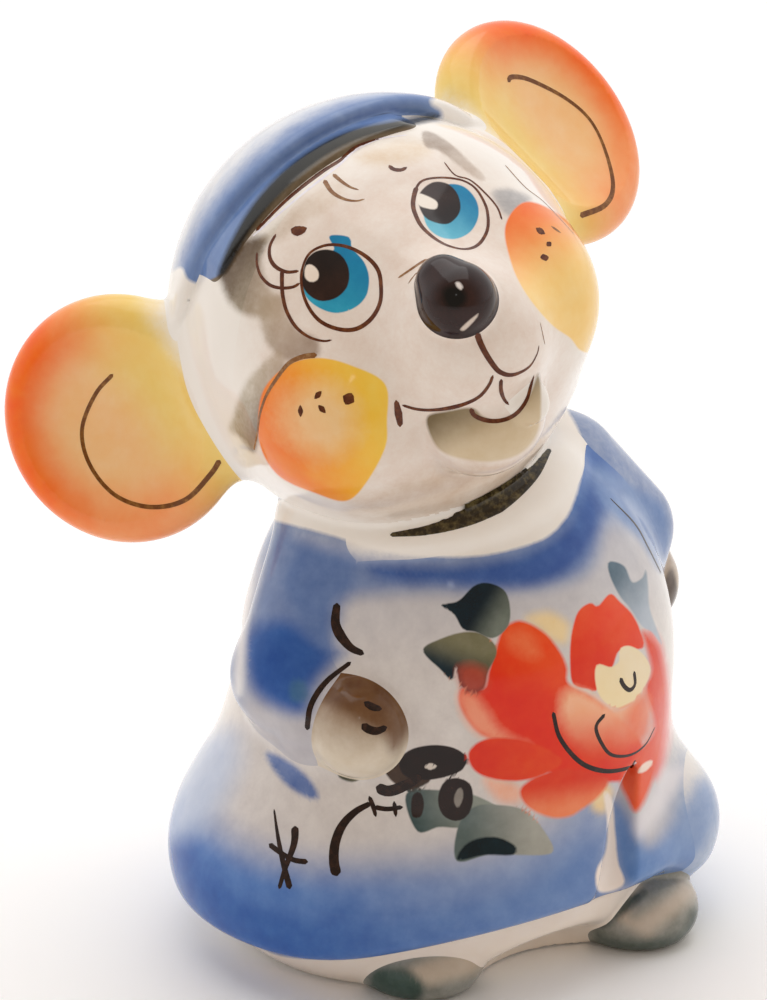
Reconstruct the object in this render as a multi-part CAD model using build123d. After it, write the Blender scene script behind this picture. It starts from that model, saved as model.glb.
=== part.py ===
from build123d import *
import math
import os

# Mouse figurine in a coat and cap, 80 mm tall, slip-cast in sections that are luted together.
# Millimetres, +Z up, origin on the floor under the middle of the coat, the mouse faces -Y.
# Left and right are the mouse's own, so its left side is +X.

# Casting wall and drain
WALL = 3.0
DRAIN_RADIUS = 4.0
DRAIN_OFFSET_Y = 8.7
NECK_BORE_RADIUS = 7.0
NECK_BORE_X = -0.5

# Parting plane of the two-part mould, which divides the cast head into a front and a back
PARTING_Y = 0.0

# Coat skirt and the plinth under it
HEM_HALF_WIDTH = 26.2
HEM_HALF_DEPTH = 22.8
SKIRT_HEIGHT = 24.9
PLINTH_HEIGHT = 4.3
PLINTH_INSET = 1.4

# The hem is level at the back and rises at the front, from here on, to the coat's opening
HEM_LIFT_START_Y = -11.0
HEM_LIFT_DEG = 20.0
OPENING_TOP = (7.0, -19.0, 18.6)
OPENING_FOOT = (3.2, -23.6, 8.0)
OPENING_TOP_RADIUS = 1.1
OPENING_FOOT_RADIUS = 2.4

# Height shares of the skirt's height, and width shares of the hem's half width and half depth
SKIRT_PROFILE_SHARES = (
    (0.0, 0.80),
    (0.06, 0.875),
    (0.174, 0.955),
    (0.326, 1.0),
    (0.48, 0.965),
    (0.61, 0.90),
    (0.74, 0.82),
    (0.87, 0.745),
    (1.0, 0.67),
)

# Arch under the hem between the feet
ARCH_HALF_WIDTH = 10.5
ARCH_DEPTH = 9.6
ARCH_HEIGHT = 5.0
ARCH_OFFSET_X = -0.8

# Torso
TORSO_RADIUS = 20.0
TORSO_HALF_HEIGHT = 23.8
TORSO_CENTRE_X = 1.6
TORSO_CENTRE_Y = -1.2
TORSO_CENTRE_Z = 26.0

# White collar round the neck, tipped to the mouse's right
COLLAR_RADIUS = 14.0
COLLAR_HALF_HEIGHT = 4.4
COLLAR_CENTRE_X = -1.2
COLLAR_CENTRE_Y = -0.6
COLLAR_SINK = 6.2
COLLAR_CENTRE_Z = TORSO_CENTRE_Z + TORSO_HALF_HEIGHT - COLLAR_SINK
COLLAR_TURN_DEG = -37.0
COLLAR_TILT_DEG = -7.0
COLLAR_TIP_DEG = 4.3

# Head: it turns to the mouse's right, looks up and tips so that the left ear is higher
HEAD_RADIUS = 18.5
HEAD_CENTRE_X = -4.0
HEAD_CENTRE_Y = 1.4
HEAD_LIFT = 15.0
HEAD_CENTRE_Z = COLLAR_CENTRE_Z + HEAD_LIFT
HEAD_TURN_DEG = -25.4
HEAD_LOOK_UP_DEG = -28.8
HEAD_TILT_DEG = -30.1

# Skull, set a little back and up from the middle that the face is placed about
SKULL_SET_BACK = 0.5
SKULL_LIFT = 1.0

# Jaw, a ball that fills the skull out below the mouth
JAW_RADIUS = 16.2
JAW_CENTRE = (-2.2, -1.0, -1.6)

# Full cheeks, each a ball that swells out of the skull
CHEEK_RADIUS = 7.2
CHEEK_ROOT_RADIUS = 15.2
CHEEK_ROOT_SHARE = 0.2
LEFT_CHEEK = (7.8, -10.6, -4.4)
RIGHT_CHEEK = (-10.4, -9.4, -4.2)

# Cap and the fringe under its front edge, in the head's own directions
CAP_THICKNESS = 1.2
CAP_SET_LEFT = 0.4
CAP_SET_BACK = 0.8
CAP_LIFT = 1.7
CAP_TILT_BACK_DEG = 36.0
CAP_EDGE_HEIGHT = 8.4
FRINGE_THICKNESS = 0.6
FRINGE_WIDTH = 3.5
FRINGE_HALF_SPAN = 14.1

# Ears
EAR_RADIUS = 11.5
EAR_RIM_RADIUS = 2.5
EAR_MIDDLE_FRONT = 0.9
EAR_MIDDLE_BACK = 3.1
EAR_CENTRE_X = 23.7
EAR_CENTRE_Y = 7.8
EAR_CENTRE_Z = 7.2
EAR_SWEEP_DEG = 36.0
EAR_DISH_SHARE = 0.5

# Muzzle, nose, mouth
MUZZLE_RADIUS = 7.0
MUZZLE_ROOT_RADIUS = 9.0
MUZZLE_CENTRE = (0.7, -17.3, -5.2)
MUZZLE_ROOT = (0.4, -8.0, -2.5)
BRIDGE_TIP_RADIUS = 3.8
BRIDGE_ROOT_RADIUS = 4.6
BRIDGE_TIP_Y = -20.6
BRIDGE_TIP_Z = -2.2
BRIDGE_ROOT_Y = -14.6
BRIDGE_ROOT_Z = 2.2
NOSE_RADIUS = 3.4
NOSE_TOP_RADIUS = 2.4
NOSE_CENTRE_X = 0.2
NOSE_CENTRE_Y = -23.9
NOSE_CENTRE_Z = -2.0
NOSE_TOP_Y = -23.4
NOSE_TOP_Z = 0.0
LIP_HALF_WIDTH = 5.4
LIP_HALF_DEPTH = 5.0
LIP_HALF_HEIGHT = 4.6
LIP_CENTRE_X = -1.5
LIP_CENTRE_Y = -14.5
LIP_CENTRE_Z = -12.0
TEETH_HALF_WIDTH = 2.1
TEETH_HALF_DEPTH = 1.4
TEETH_HALF_HEIGHT = 2.6
TEETH_CENTRE_X = 1.3
TEETH_CENTRE_Y = -18.9
TEETH_CENTRE_Z = -12.1

# Arms: joints of each sleeve and paw
RIGHT_SHOULDER = (-11.4, -0.5, 40.6)
RIGHT_ELBOW = (-17.3, -1.1, 28.7)
RIGHT_WRIST = (-17.0, -5.0, 26.9)
LEFT_SHOULDER = (12.1, -2.7, 41.7)
LEFT_WRIST = (18.2, -3.9, 35.2)
SHOULDER_RADIUS = 5.9
ELBOW_RADIUS = 5.3
FOREARM_RADIUS = 5.2
WRIST_RADIUS = 5.0
RIGHT_PAW_CENTRE = (-15.8, -9.5, 26.2)
LEFT_PAW_ROOT = (18.9, -3.3, 32.5)
LEFT_PAW_CENTRE = (20.8, -2.5, 28.6)
PAW_RADIUS = 4.8
PAW_ROOT_RADIUS = 4.3

# Feet
FOOT_HALF_WIDTH = 5.2
FOOT_HALF_LENGTH = 6.7
FOOT_HALF_HEIGHT = 3.9
FOOT_CENTRE_Z = 2.6
RIGHT_FOOT_INSET = 8.8
RIGHT_FOOT_ANGLE_DEG = -125.0
LEFT_FOOT_INSET = 4.3
LEFT_FOOT_ANGLE_DEG = -56.4

# Left front corner of the coat, which flares over the left foot
FLAP_HALF_WIDTH = 6.0
FLAP_HALF_DEPTH = 5.4
FLAP_HALF_HEIGHT = 6.5
FLAP_INSET = 3.8
FLAP_ANGLE_DEG = -44.0
FLAP_CENTRE_Z = 9.3

# Tail, laid on the back of the skirt
TAIL_RADIUS = 2.5
TAIL_TIP_HEIGHT = 15.2
TAIL_ROOT_ANGLE_DEG = 100.0
TAIL_TIP_ANGLE_DEG = 18.0

# Shares of the tail's turn, tip height, radius and the skirt's half sizes, from root to tip
TAIL_SHARES = (
    (0.0, 0.62, 1.0, 0.86),
    (0.08, 0.50, 1.0, 0.96),
    (0.22, 0.42, 0.96, 1.01),
    (0.42, 0.46, 0.86, 1.01),
    (0.62, 0.60, 0.74, 1.01),
    (0.82, 0.80, 0.60, 1.01),
    (0.97, 0.97, 0.44, 1.0),
    (1.0, 1.0, 0.2, 1.0),
)

# One overrun serves every cutting block
OVERRUN = 65.0


def ellipsoid(half_width, half_depth, half_height):
    """Ellipsoid about the origin, with its seam at the back where nothing joins it."""
    ball = Rot(0, 0, 90) * Sphere(1)
    return scale(ball, by=(half_width, half_depth, half_height))


def skull_ball(radius):
    """Ball about the middle of the skull."""
    middle = HEAD * Pos(0, SKULL_SET_BACK, SKULL_LIFT)
    return Pos(middle.position) * (Rot(0, 0, 90) * Sphere(radius))


def cheek(place):
    """Ball with the cone that it swells out of the skull by."""
    skull = Vector(0, SKULL_SET_BACK, SKULL_LIFT)
    root = skull + (Vector(*place) - skull) * CHEEK_ROOT_SHARE
    return HEAD * limb(root, CHEEK_ROOT_RADIUS, place, CHEEK_RADIUS)


def block_above(height):
    """Everything above a height, as far as the overrun."""
    block = Box(2 * OVERRUN, 2 * OVERRUN, 2 * OVERRUN, align=(Align.CENTER, Align.CENTER, Align.MIN))
    return Pos(0, 0, height) * block


def limb(start, start_radius, end, end_radius):
    """Two balls with the cone that touches both, turned as one solid about their line."""
    first = Vector(*start)
    axis = Vector(*end) - first
    lean = math.asin((start_radius - end_radius) / axis.length)
    low = (lean - math.pi / 2) / 2
    high = (lean + math.pi / 2) / 2

    def on_ball(centre, radius, angle):
        """Point of a ball's outline, at an angle from its middle."""
        return (radius * math.cos(angle), centre + radius * math.sin(angle))

    start_touch = on_ball(0, start_radius, lean)
    end_touch = on_ball(axis.length, end_radius, lean)
    bottom = (0, -start_radius)
    top = (0, axis.length + end_radius)
    section = make_face(
        ThreePointArc(bottom, on_ball(0, start_radius, low), start_touch)
        + Line(start_touch, end_touch)
        + ThreePointArc(end_touch, on_ball(axis.length, end_radius, high), top)
        + Line(top, bottom)
    )
    turned = revolve(section, Axis.Y)
    upright = Location((0, 0, 0), (90, 0, 0)) * turned
    return Plane(origin=first, z_dir=axis.normalized()).location * upright


def skirt_half_sizes(height):
    """Half width and half depth of the skirt at a height."""
    share = height / SKIRT_HEIGHT
    for (low, low_width), (high, high_width) in zip(SKIRT_PROFILE_SHARES, SKIRT_PROFILE_SHARES[1:]):
        if share <= high:
            part_way = (share - low) / (high - low)
            width = low_width + part_way * (high_width - low_width)
            return HEM_HALF_WIDTH * width, HEM_HALF_DEPTH * width
    return HEM_HALF_WIDTH * high_width, HEM_HALF_DEPTH * high_width


def under_hem(angle, inset, height):
    """Place inside the hem's outline, by the angle round it and how far in it lies."""
    turned = math.radians(angle)
    half_width = HEM_HALF_WIDTH - inset
    half_depth = HEM_HALF_DEPTH - inset
    return Pos(half_width * math.cos(turned), half_depth * math.sin(turned), height)


def skirt_loft(inset):
    """Skirt as one smooth loft through its sections, each drawn in by an inset."""
    sections = []
    for height_share, width_share in SKIRT_PROFILE_SHARES:
        plane = Plane.XY.offset(height_share * SKIRT_HEIGHT)
        half_width = HEM_HALF_WIDTH * width_share - inset
        half_depth = HEM_HALF_DEPTH * width_share - inset
        sections.append(plane * Ellipse(half_width, half_depth))
    return loft(sections)


def torso(inset):
    """Torso drawn in by an inset."""
    body = ellipsoid(TORSO_RADIUS - inset, TORSO_RADIUS - inset, TORSO_HALF_HEIGHT - inset)
    return Pos(TORSO_CENTRE_X, TORSO_CENTRE_Y, TORSO_CENTRE_Z) * body


def neck_bore():
    """Straight passage from the torso into the head."""
    height = HEAD_CENTRE_Z - TORSO_CENTRE_Z
    bore = Cylinder(NECK_BORE_RADIUS, height, align=(Align.CENTER, Align.CENTER, Align.MIN))
    return Pos(NECK_BORE_X, 0, TORSO_CENTRE_Z) * bore


HEAD_SPOT = Pos(HEAD_CENTRE_X, HEAD_CENTRE_Y, HEAD_CENTRE_Z)
HEAD = (
    HEAD_SPOT
    * Location((0, 0, 0), (0, 0, HEAD_TURN_DEG))
    * Location((0, 0, 0), (HEAD_LOOK_UP_DEG, 0, 0))
    * Location((0, 0, 0), (0, HEAD_TILT_DEG, 0))
)
CAP_EDGE = HEAD * Location((0, 0, 0), (-CAP_TILT_BACK_DEG, 0, 0))

# Outer forms that their neighbours are cut by
skull_form = skull_ball(HEAD_RADIUS)
jaw_middle = HEAD * Pos(*JAW_CENTRE)
jaw_form = Pos(jaw_middle.position) * (Rot(0, 0, 90) * Sphere(JAW_RADIUS))
head_form = skull_form + jaw_form
head_form = head_form + cheek(LEFT_CHEEK)
head_form = head_form + cheek(RIGHT_CHEEK)
collar_form = (
    Location((COLLAR_CENTRE_X, COLLAR_CENTRE_Y, COLLAR_CENTRE_Z), (0, 0, COLLAR_TURN_DEG))
    * Location((0, 0, 0), (0, COLLAR_TILT_DEG, 0))
    * Location((0, 0, 0), (COLLAR_TIP_DEG, 0, 0))
    * ellipsoid(COLLAR_RADIUS, COLLAR_RADIUS, COLLAR_HALF_HEIGHT)
)
skirt_form = skirt_loft(0)
coat_zone = block_above(PLINTH_HEIGHT)
hem_lift = Location((0, HEM_LIFT_START_Y, PLINTH_HEIGHT), (-HEM_LIFT_DEG, 0, 0))
coat_zone = coat_zone & hem_lift * block_above(0)
torso_form = torso(0) & coat_zone
coat_form = skirt_form & coat_zone
coat_form = coat_form + torso_form
opening_form = limb(OPENING_TOP, OPENING_TOP_RADIUS, OPENING_FOOT, OPENING_FOOT_RADIUS)
coat_form = coat_form - opening_form
plinth_form = skirt_loft(PLINTH_INSET) - coat_zone


def make_plinth():
    """Floor of the casting, with the drain hole and the arch between the feet."""
    drain = Pos(0, DRAIN_OFFSET_Y, 0) * Cylinder(DRAIN_RADIUS, OVERRUN)
    arch = Pos(ARCH_OFFSET_X, -HEM_HALF_DEPTH, 0) * ellipsoid(ARCH_HALF_WIDTH, ARCH_DEPTH, ARCH_HEIGHT)
    return plinth_form - drain - arch


def make_coat():
    """Hollow coat body, open below on the plinth and above into the neck."""
    hollow_skirt = skirt_loft(WALL) & coat_zone
    shell = coat_form - hollow_skirt
    shell = shell - (torso(WALL) & coat_zone)
    shell = shell - collar_form
    return shell - head_form


def make_collar():
    """Ring between coat and head, with the neck passage through it."""
    ring = collar_form - head_form
    return ring - neck_bore()


def make_head():
    """Hollow head, open below into the neck."""
    shell = head_form - skull_ball(HEAD_RADIUS - WALL)
    return shell - neck_bore()


def head_half(shell, side):
    """Front of the head for side -1, back for 1, divided on the mould's parting plane."""
    towards = Align.MAX if side < 0 else Align.MIN
    block = Box(2 * OVERRUN, OVERRUN, 2 * OVERRUN, align=(Align.CENTER, towards, Align.CENTER))
    return shell & Pos(HEAD_CENTRE_X, PARTING_Y, HEAD_CENTRE_Z) * block


def make_cap(ears):
    """Round cap on the top and back of the head, let in for the ears."""
    into_edge = CAP_EDGE.inverse() * HEAD
    outer_middle = into_edge * Pos(CAP_SET_LEFT, CAP_SET_BACK, CAP_LIFT)
    inner_middle = into_edge * Pos(0, SKULL_SET_BACK, SKULL_LIFT)
    outer = Pos(outer_middle.position) * (Rot(0, 0, 90) * Sphere(HEAD_RADIUS + CAP_THICKNESS))
    inner = Pos(inner_middle.position) * (Rot(0, 0, 90) * Sphere(HEAD_RADIUS))
    cap = CAP_EDGE * ((outer - inner) & block_above(CAP_EDGE_HEIGHT))
    for ear in ears:
        cap = cap - ear
    return cap


def make_fringe():
    """Band of hair that shows under the front edge of the cap."""
    band = skull_ball(HEAD_RADIUS + FRINGE_THICKNESS) & CAP_EDGE * block_above(CAP_EDGE_HEIGHT - FRINGE_WIDTH)
    band = band - CAP_EDGE * block_above(CAP_EDGE_HEIGHT)
    front = Box(2 * FRINGE_HALF_SPAN, OVERRUN, OVERRUN, align=(Align.CENTER, Align.MAX, Align.CENTER))
    band = band & HEAD * front
    return band - head_form


def make_muzzle_form():
    """Round muzzle with the bridge that carries the nose."""
    ball = limb(MUZZLE_ROOT, MUZZLE_ROOT_RADIUS, MUZZLE_CENTRE, MUZZLE_RADIUS)
    tip = (NOSE_CENTRE_X, BRIDGE_TIP_Y, BRIDGE_TIP_Z)
    root = (NOSE_CENTRE_X, BRIDGE_ROOT_Y, BRIDGE_ROOT_Z)
    bridge = limb(root, BRIDGE_ROOT_RADIUS, tip, BRIDGE_TIP_RADIUS)
    return HEAD * (ball + bridge)


def in_head(form, centre_x, centre_y, centre_z):
    """A form placed in the head's own directions."""
    return HEAD * (Pos(centre_x, centre_y, centre_z) * form)


def make_ear(side):
    """Round dished ear, swept back; side is 1 for the mouse's left and -1 for its right."""
    crest = EAR_RADIUS - EAR_RIM_RADIUS
    front_middle = (0, -EAR_MIDDLE_FRONT)
    front_crest = (crest, -EAR_RIM_RADIUS)
    outermost = (EAR_RADIUS, 0)
    back_crest = (crest, EAR_RIM_RADIUS)
    back_middle = (0, EAR_MIDDLE_BACK)
    half_way_front = -(EAR_MIDDLE_FRONT + (EAR_RIM_RADIUS - EAR_MIDDLE_FRONT) * EAR_DISH_SHARE**2)
    half_way_back = EAR_MIDDLE_BACK - (EAR_MIDDLE_BACK - EAR_RIM_RADIUS) * EAR_DISH_SHARE**2
    section = make_face(
        ThreePointArc(front_middle, (crest * EAR_DISH_SHARE, half_way_front), front_crest)
        + ThreePointArc(front_crest, outermost, back_crest)
        + ThreePointArc(back_crest, (crest * EAR_DISH_SHARE, half_way_back), back_middle)
        + Line(back_middle, front_middle)
    )
    disc = Rot(0, 90 - 90 * side, 0) * revolve(section, Axis.Y)
    place = Location((side * EAR_CENTRE_X, EAR_CENTRE_Y, EAR_CENTRE_Z), (0, 0, side * EAR_SWEEP_DEG))
    return HEAD * (place * disc)


def make_foot(angle, inset, cutters):
    """Foot that looks out from under the hem, flat on the floor."""
    foot = ellipsoid(FOOT_HALF_WIDTH, FOOT_HALF_LENGTH, FOOT_HALF_HEIGHT)
    foot = under_hem(angle, inset, FOOT_CENTRE_Z) * foot
    foot = foot & block_above(0)
    for cutter in cutters:
        foot = foot - cutter
    return foot


def make_tail():
    """Tapered tail that leaves the back of the skirt and lies along it."""
    places = []
    for along, height_share, _, outward in TAIL_SHARES:
        angle = math.radians(TAIL_ROOT_ANGLE_DEG + along * (TAIL_TIP_ANGLE_DEG - TAIL_ROOT_ANGLE_DEG))
        height = TAIL_TIP_HEIGHT * height_share
        half_width, half_depth = skirt_half_sizes(height)
        place = Vector(half_width * outward * math.cos(angle), half_depth * outward * math.sin(angle), height)
        places.append(place)
    sections = []
    for number, place in enumerate(places):
        before = places[max(number - 1, 0)]
        after = places[min(number + 1, len(places) - 1)]
        radius = TAIL_RADIUS * TAIL_SHARES[number][2]
        sections.append(Plane(origin=place, z_dir=after - before) * Circle(radius))
    return loft(sections) - coat_form - plinth_form


def largest(form):
    """The largest solid of a form, without the slivers that a cut may leave."""
    return sorted(form.solids(), key=lambda solid: solid.volume)[-1]


def main():
    """Build every section and write it."""
    left_ear = make_ear(1)
    right_ear = make_ear(-1)
    head_shell = make_head()
    muzzle_form = make_muzzle_form()
    lip = ellipsoid(LIP_HALF_WIDTH, LIP_HALF_DEPTH, LIP_HALF_HEIGHT)
    lip = in_head(lip, LIP_CENTRE_X, LIP_CENTRE_Y, LIP_CENTRE_Z)
    teeth = ellipsoid(TEETH_HALF_WIDTH, TEETH_HALF_DEPTH, TEETH_HALF_HEIGHT)
    teeth = in_head(teeth, TEETH_CENTRE_X, TEETH_CENTRE_Y, TEETH_CENTRE_Z)
    nose_middle = (NOSE_CENTRE_X, NOSE_CENTRE_Y, NOSE_CENTRE_Z)
    nose_top = (NOSE_CENTRE_X, NOSE_TOP_Y, NOSE_TOP_Z)
    nose = HEAD * limb(nose_middle, NOSE_RADIUS, nose_top, NOSE_TOP_RADIUS)
    right_sleeve = limb(RIGHT_SHOULDER, SHOULDER_RADIUS, RIGHT_ELBOW, ELBOW_RADIUS)
    right_sleeve = right_sleeve + limb(RIGHT_ELBOW, FOREARM_RADIUS, RIGHT_WRIST, WRIST_RADIUS)
    left_sleeve = limb(LEFT_SHOULDER, SHOULDER_RADIUS, LEFT_WRIST, ELBOW_RADIUS)
    right_paw = Pos(*RIGHT_PAW_CENTRE) * Sphere(PAW_RADIUS)
    left_paw = limb(LEFT_PAW_ROOT, PAW_ROOT_RADIUS, LEFT_PAW_CENTRE, PAW_RADIUS)
    flap = ellipsoid(FLAP_HALF_WIDTH, FLAP_HALF_DEPTH, FLAP_HALF_HEIGHT)
    flap = under_hem(FLAP_ANGLE_DEG, FLAP_INSET, FLAP_CENTRE_Z) * flap
    plinth = make_plinth()
    left_foot = make_foot(LEFT_FOOT_ANGLE_DEG, LEFT_FOOT_INSET, (plinth, coat_form))
    right_foot = make_foot(RIGHT_FOOT_ANGLE_DEG, RIGHT_FOOT_INSET, (plinth, coat_form))
    nodes = {
        "plinth": plinth,
        "coat_body": make_coat(),
        "collar": make_collar(),
        "head_front": head_half(head_shell, -1),
        "head_back": head_half(head_shell, 1),
        "cap": make_cap((left_ear, right_ear)),
        "fringe": make_fringe() - left_ear - right_ear,
        "muzzle": muzzle_form - head_form,
        "nose": nose - muzzle_form - head_form,
        "lower_lip": lip - muzzle_form - head_form,
        "front_teeth": teeth - muzzle_form - lip - head_form,
        "ear_left": left_ear - head_form,
        "ear_right": right_ear - head_form,
        "sleeve_left": left_sleeve - coat_form - collar_form - head_form,
        "sleeve_right": right_sleeve - coat_form - collar_form - head_form,
        "paw_left": left_paw - left_sleeve - coat_form,
        "paw_right": right_paw - right_sleeve - coat_form,
        "foot_left": left_foot,
        "foot_right": right_foot,
        "coat_flap": flap - coat_form - plinth_form - left_foot,
        "tail": make_tail(),
    }
    os.makedirs("parts", exist_ok=True)
    for name, form in nodes.items():
        solids = form.solids()
        print(name, len(solids), [round(solid.volume, 1) for solid in solids])
        export_step(largest(form), f"parts/{name}.step")


main()
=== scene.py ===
import logging
import math
from collections.abc import Callable
from dataclasses import dataclass
from enum import Enum

import bpy
import numpy as np
from mathutils import Matrix, Vector


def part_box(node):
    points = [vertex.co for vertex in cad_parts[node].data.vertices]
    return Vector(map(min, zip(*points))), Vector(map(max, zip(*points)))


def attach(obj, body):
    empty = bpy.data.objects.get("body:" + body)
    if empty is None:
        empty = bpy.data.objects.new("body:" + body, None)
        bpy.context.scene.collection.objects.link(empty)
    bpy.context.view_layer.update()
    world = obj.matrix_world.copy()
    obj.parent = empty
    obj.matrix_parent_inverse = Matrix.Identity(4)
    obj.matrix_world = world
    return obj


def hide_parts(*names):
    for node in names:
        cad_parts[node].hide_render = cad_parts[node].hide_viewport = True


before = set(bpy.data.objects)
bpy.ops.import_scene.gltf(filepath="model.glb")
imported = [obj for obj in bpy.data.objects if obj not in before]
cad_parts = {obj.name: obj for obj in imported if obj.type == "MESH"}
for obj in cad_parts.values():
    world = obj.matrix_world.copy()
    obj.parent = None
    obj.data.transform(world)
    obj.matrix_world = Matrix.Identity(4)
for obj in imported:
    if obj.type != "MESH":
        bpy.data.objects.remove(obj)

# Hand-painted glazed mouse figurine. Sizes in the classes are millimetres, and meshes are made in metres.
MM = 0.001
PHOTO_WIDTH = 767
PHOTO_HEIGHT = 1000
ROOT_BODY = "root"

log = logging.getLogger("mouse_figurine")

Array = np.ndarray
Span = tuple[float, float]
Numbers = tuple[float, ...]
Pixels = Numbers
Place = tuple[float, float, float]
Colour = tuple[float, float, float]
Field = Callable[[Array], Array]
Fields = Callable[[Array], dict[str, Array]]
Socket = bpy.types.NodeSocket
Material = bpy.types.Material
Value = Socket | float | tuple

# Half the step over which slopes are measured, a distance that counts as far away, and the least divisor
SLOPE_STEP = 0.02
FAR = 1000.0
TINY = 1e-9


def paint(code: str) -> Colour:
    """Give the linear red, green and blue, from 0 to 1, of a six-digit colour code."""
    shares = [int(code[at:at + 2], 16) / 255 for at in (0, 2, 4)]
    return tuple(s / 12.92 if s <= 0.04045 else ((s + 0.055) / 1.055) ** 2.4 for s in shares)


def unit(vectors: Array) -> Array:
    """Scale rows to length one."""
    return vectors / np.maximum(np.linalg.norm(vectors, axis=-1, keepdims=True), TINY)


def smooth_step(low: float, high: float, value: Array) -> Array:
    """Rise smoothly from 0 at low to 1 at high."""
    share = np.clip((value - low) / (high - low), 0, 1)
    return share * share * (3 - 2 * share)


def soft_min(first: Array, second: Array, width: float) -> Array:
    """Join two fields with a fillet of about the given width."""
    near = np.maximum(width - np.abs(first - second), 0) / width
    return np.minimum(first, second) - near * near * width / 4


def soft_max(first: Array, second: Array, width: float) -> Array:
    """Keep what two fields share, with a rounded edge of about the given width."""
    return -soft_min(-first, -second, width)


def slope_of(field: Field, points: Array) -> Array:
    """Steepest rise of a field at places, one a row."""
    ways = np.eye(3) * SLOPE_STEP
    return np.stack([(field(points + way) - field(points - way)) / (2 * SLOPE_STEP) for way in ways], axis=1)


def ellipsoid(points: Array, centre: Place, radii: Place) -> Array:
    """Distance to an ellipsoid, near enough at its surface.

    Args:
        points: places, one a row.
        centre: middle of the ellipsoid.
        radii: its three radii.

    Returns:
        The distance of each place, below 0 inside.
    """
    at = (points - np.array(centre)) / np.array(radii)
    outer = np.linalg.norm(at, axis=1)
    inner = np.linalg.norm(at / np.array(radii), axis=1)
    return outer * (outer - 1) / np.maximum(inner, TINY)


def round_cone(points: Array, start: Place, end: Place, start_radius: float, end_radius: float) -> Array:
    """Distance to two balls with the cone that touches both.

    Args:
        points: places, one a row.
        start: middle of the first ball.
        end: middle of the second ball.
        start_radius: radius of the first ball.
        end_radius: radius of the second ball.

    Returns:
        The distance of each place, below 0 inside.
    """
    first = np.array(start, float)
    line = np.array(end, float) - first
    length2 = line @ line
    narrow = start_radius - end_radius
    slope2 = length2 - narrow * narrow
    from_first = points - first
    along = from_first @ line
    beyond = along - length2
    across2 = ((from_first * length2 - np.outer(along, line)) ** 2).sum(axis=1)
    along2 = along * along * length2
    beyond2 = beyond * beyond * length2
    limit = np.sign(narrow) * narrow * narrow * across2
    side = (np.sqrt(across2 * slope2 / length2) + along * narrow) / length2 - start_radius
    past_end = np.sign(beyond) * slope2 * beyond2 > limit
    before_start = np.sign(along) * slope2 * along2 < limit
    side = np.where(before_start, np.sqrt(across2 + along2) / length2 - start_radius, side)
    return np.where(past_end, np.sqrt(across2 + beyond2) / length2 - end_radius, side)


def rounded_table(heights: Numbers, widths: Numbers, count: int = 240) -> tuple[Array, Array]:
    """Turn a given profile into a dense smooth one.

    Args:
        heights: rising heights.
        widths: width at each height.
        count: points in the dense profile.

    Returns:
        Dense heights and widths.
    """
    dense = np.linspace(heights[0], heights[-1], count)
    slopes = np.gradient(np.array(widths, float), np.array(heights, float))
    at = np.clip(np.searchsorted(heights, dense, side="right") - 1, 0, len(heights) - 2)
    low, high = np.array(heights)[at], np.array(heights)[at + 1]
    span = high - low
    share = (dense - low) / span
    start, end = np.array(widths)[at], np.array(widths)[at + 1]
    square, cube = share**2, share**3
    curve = (2 * cube - 3 * square + 1) * start + (cube - 2 * square + share) * span * slopes[at]
    curve += (3 * square - 2 * cube) * end + (cube - square) * span * slopes[at + 1]
    return dense, curve


def turn(axis: str, degrees: float) -> Array:
    """Rotation matrix about X, Y or Z."""
    return np.array(Matrix.Rotation(math.radians(degrees), 3, axis))


def box_of(*nodes: str) -> tuple[Array, Array]:
    """Lowest and highest corners of frame nodes in millimetres."""
    corners = np.array([[list(corner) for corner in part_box(node)] for node in nodes]) / MM
    return corners[:, 0].min(axis=0), corners[:, 1].max(axis=0)


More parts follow.
